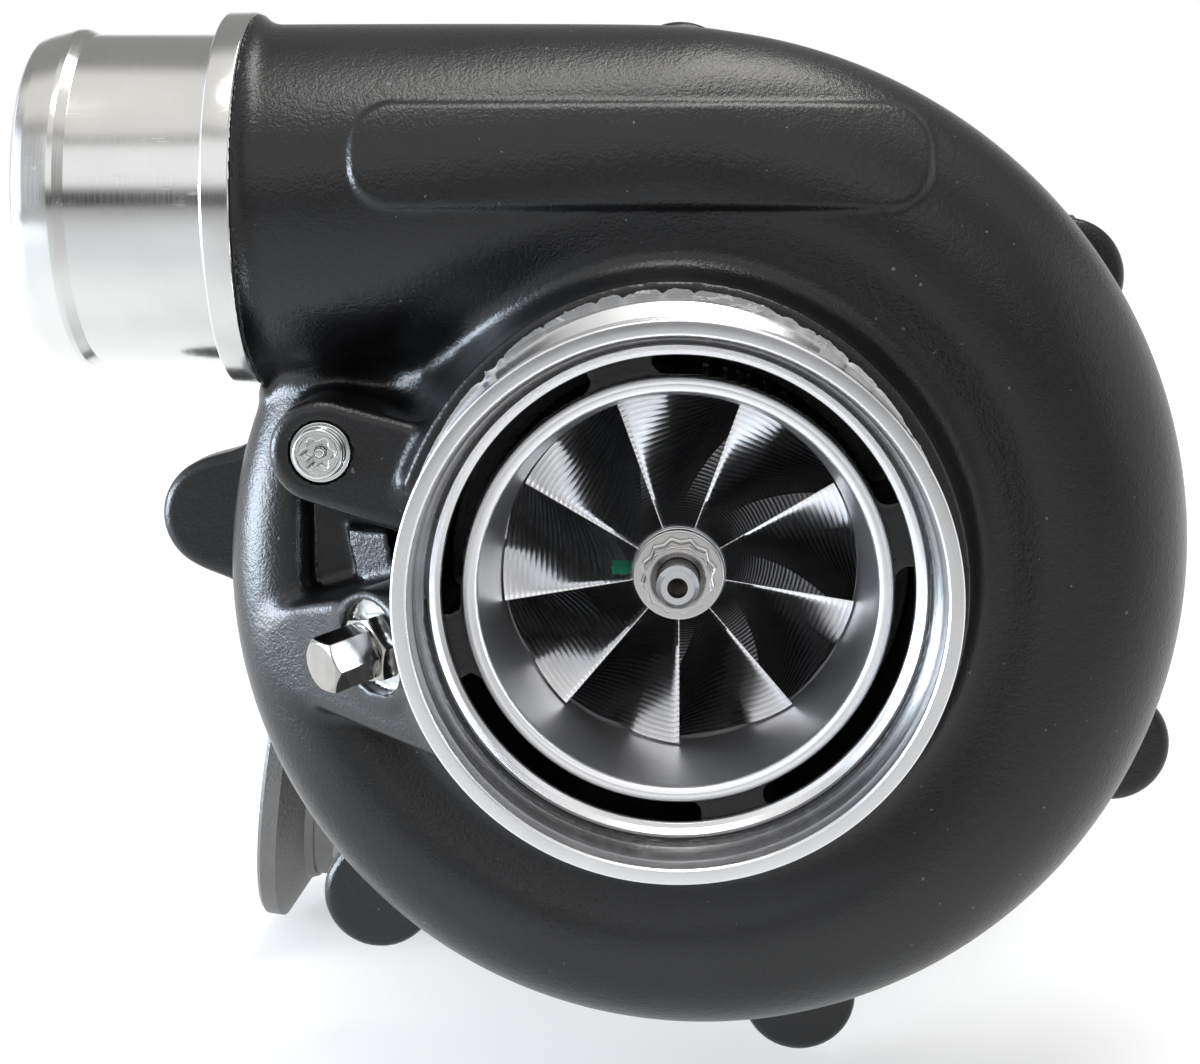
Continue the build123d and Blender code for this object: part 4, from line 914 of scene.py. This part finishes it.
sdf_piece("boost_plug_hex", plug_fn, BP_BASE, BP_DIR, (6.0, 6.0, -0.4, 17.8), 0.12, M_NICKEL, replaces=["boost_port_plug"], slot="steel_bright")

# ---------------------------------------------------------------------------
# studio: pale floor that glows, with painted shade in front of the object; white backdrop, soft boxes
# ---------------------------------------------------------------------------
lo, hi = CAD_BOX


def plain(name, color, rough=0.9, emit=0.0):
    m, nt, b = new_mat(name)
    b.inputs["Base Color"].default_value = (*color, 1)
    b.inputs["Roughness"].default_value = rough
    if emit:
        b.inputs["Emission Color"].default_value = (*color, 1)
        b.inputs["Emission Strength"].default_value = emit
    return m


def quad(name, pts, mat):
    me = bpy.data.meshes.new(name)
    me.from_pydata(pts, [], [tuple(range(len(pts)))])
    me.materials.append(mat)
    ob = bpy.data.objects.new(name, me)
    bpy.context.scene.collection.objects.link(ob)
    return ob


zf = lo[2] - 0.002
# painted light: the floor glows more with distance, and its glow fades to almost nothing in front of the object, a
# painted shade for the dark surroundings there
M_FLOOR, fnt, fb = new_mat("floor_glow_shaded_front")
fs = N(fnt, "ShaderNodeSeparateXYZ")
fnt.links.new(N(fnt, "ShaderNodeTexCoord").outputs["Object"], fs.inputs[0])
# fades the floor's glow out towards the front: painted shade
fr = N(fnt, "ShaderNodeMapRange", interpolation_type="SMOOTHSTEP")
fr.inputs["From Min"].default_value, fr.inputs["From Max"].default_value = -0.24, 0.07
fnt.links.new(fs.outputs[1], fr.inputs["Value"])
fb.inputs["Base Color"].default_value = (0.55, 0.55, 0.55, 1)
fb.inputs["Roughness"].default_value = 0.9
fb.inputs["Emission Color"].default_value = (0.70, 0.70, 0.70, 1)
dist = mathn(fnt, "SQRT", mathn(fnt, "ADD", mathn(fnt, "MULTIPLY", fs.outputs[0], fs.outputs[0]), mathn(fnt, "MULTIPLY", fs.outputs[1], fs.outputs[1])))
far = N(fnt, "ShaderNodeMapRange", interpolation_type="SMOOTHSTEP")
far.inputs["From Min"].default_value, far.inputs["From Max"].default_value = 0.30, 1.5
fnt.links.new(dist, far.inputs["Value"])
glow = mathn(fnt, "ADD", mathn(fnt, "MULTIPLY", far.outputs[0], 0.62), 0.64)
fnt.links.new(mathn(fnt, "ADD", mathn(fnt, "MULTIPLY", fr.outputs[0], glow), 0.03), fb.inputs["Emission Strength"])
quad("floor", [(-3, -3, zf), (3, -3, zf), (3, 3, zf), (-3, 3, zf)], M_FLOOR)

# soft studio surroundings: white behind, a broad white panel above the front, daylight from the left
w = bpy.context.scene.world or bpy.data.worlds.new("World")
bpy.context.scene.world = w
w.use_nodes = True
nt = w.node_tree
bg = nt.nodes["Background"]
sp = N(nt, "ShaderNodeSeparateXYZ")
nt.links.new(N(nt, "ShaderNodeTexCoord").outputs["Generated"], sp.inputs[0])
DX, DY, DZ = sp.outputs


def soft(v, a, b):
    n = nt.nodes.new("ShaderNodeMapRange")
    n.interpolation_type = "SMOOTHSTEP"
    n.inputs["From Min"].default_value, n.inputs["From Max"].default_value = a, b
    nt.links.new(v, n.inputs["Value"])
    return n.outputs[0]


def mul(*v):
    out = v[0]
    for q in v[1:]:
        out = mathn(nt, "MULTIPLY", out, q)
    return out


front = soft(DY, -0.15, -0.35)
panel = mul(front, soft(DZ, 0.13, 0.19), soft(DZ, 0.66, 0.56), soft(DX, -0.72, -0.58), soft(DX, 0.62, 0.48))
dark = mul(front, soft(DZ, 0.13, 0.07), soft(DX, -0.66, -0.54), soft(DX, 0.70, 0.58))
left = mul(soft(DX, -0.66, -0.82), soft(DZ, 0.68, 0.50))
right = mul(soft(DX, 0.74, 0.88), soft(DZ, 0.70, 0.55))
back = mul(soft(DY, 0.02, 0.30), soft(DZ, 0.42, 0.14))
high = mul(soft(DZ, 0.60, 0.76), soft(DY, 0.35, 0.05))
val = mixc(nt, dark, (0.35, 0.35, 0.35), (0.055, 0.055, 0.055))
val = mixc(nt, high, val, (1.0, 0.99, 0.97))
val = mixc(nt, panel, val, (1.20, 1.21, 1.23))
val = mixc(nt, right, val, (1.05, 1.05, 1.06))
val = mixc(nt, left, val, (1.7, 1.85, 2.1))
val = mixc(nt, back, val, (1.0, 1.0, 1.0))
nt.links.new(val, bg.inputs[0])
bg.inputs[1].default_value = 1.0


def area(name, loc, target, sx, sy, power, color=(1, 1, 1), spread=180):
    L = bpy.data.lights.new(name, "AREA")
    L.shape = "RECTANGLE"
    L.size, L.size_y = sx, sy
    L.energy = power
    L.color = color
    L.spread = math.radians(spread)
    ob = bpy.data.objects.new(name, L)
    ob.location = loc
    d = Vector(target) - Vector(loc)
    ob.rotation_euler = d.to_track_quat("-Z", "Y").to_euler()
    bpy.context.scene.collection.objects.link(ob)
    return ob


C = (0.0, 0.05, 0.0)
area("box_top", (0.12, -0.02, 1.25), C, 1.25, 0.34, 10.5, (1.0, 0.985, 0.96))
area("box_left", (-0.86, -0.14, 0.06), (0.0, 0.05, 0.04), 0.52, 0.30, 13, (0.78, 0.89, 1.0))

cam = bpy.data.cameras.new("camera")
cam.sensor_width = 36.0
cam.lens = 2404.16 / 1200 * 36.0
co = bpy.data.objects.new("camera", cam)
co.location = (0.00576, -0.41678, 0.07915)
pitch, yaw = math.radians(8.956), math.radians(-2.634)
fwd = Vector((math.sin(yaw) * math.cos(pitch), math.cos(yaw) * math.cos(pitch), -math.sin(pitch)))
co.rotation_euler = fwd.to_track_quat("-Z", "Y").to_euler()
bpy.context.scene.collection.objects.link(co)
bpy.context.scene.camera = co
cam.clip_start = 0.01
bpy.context.scene.view_settings.view_transform = "Standard"
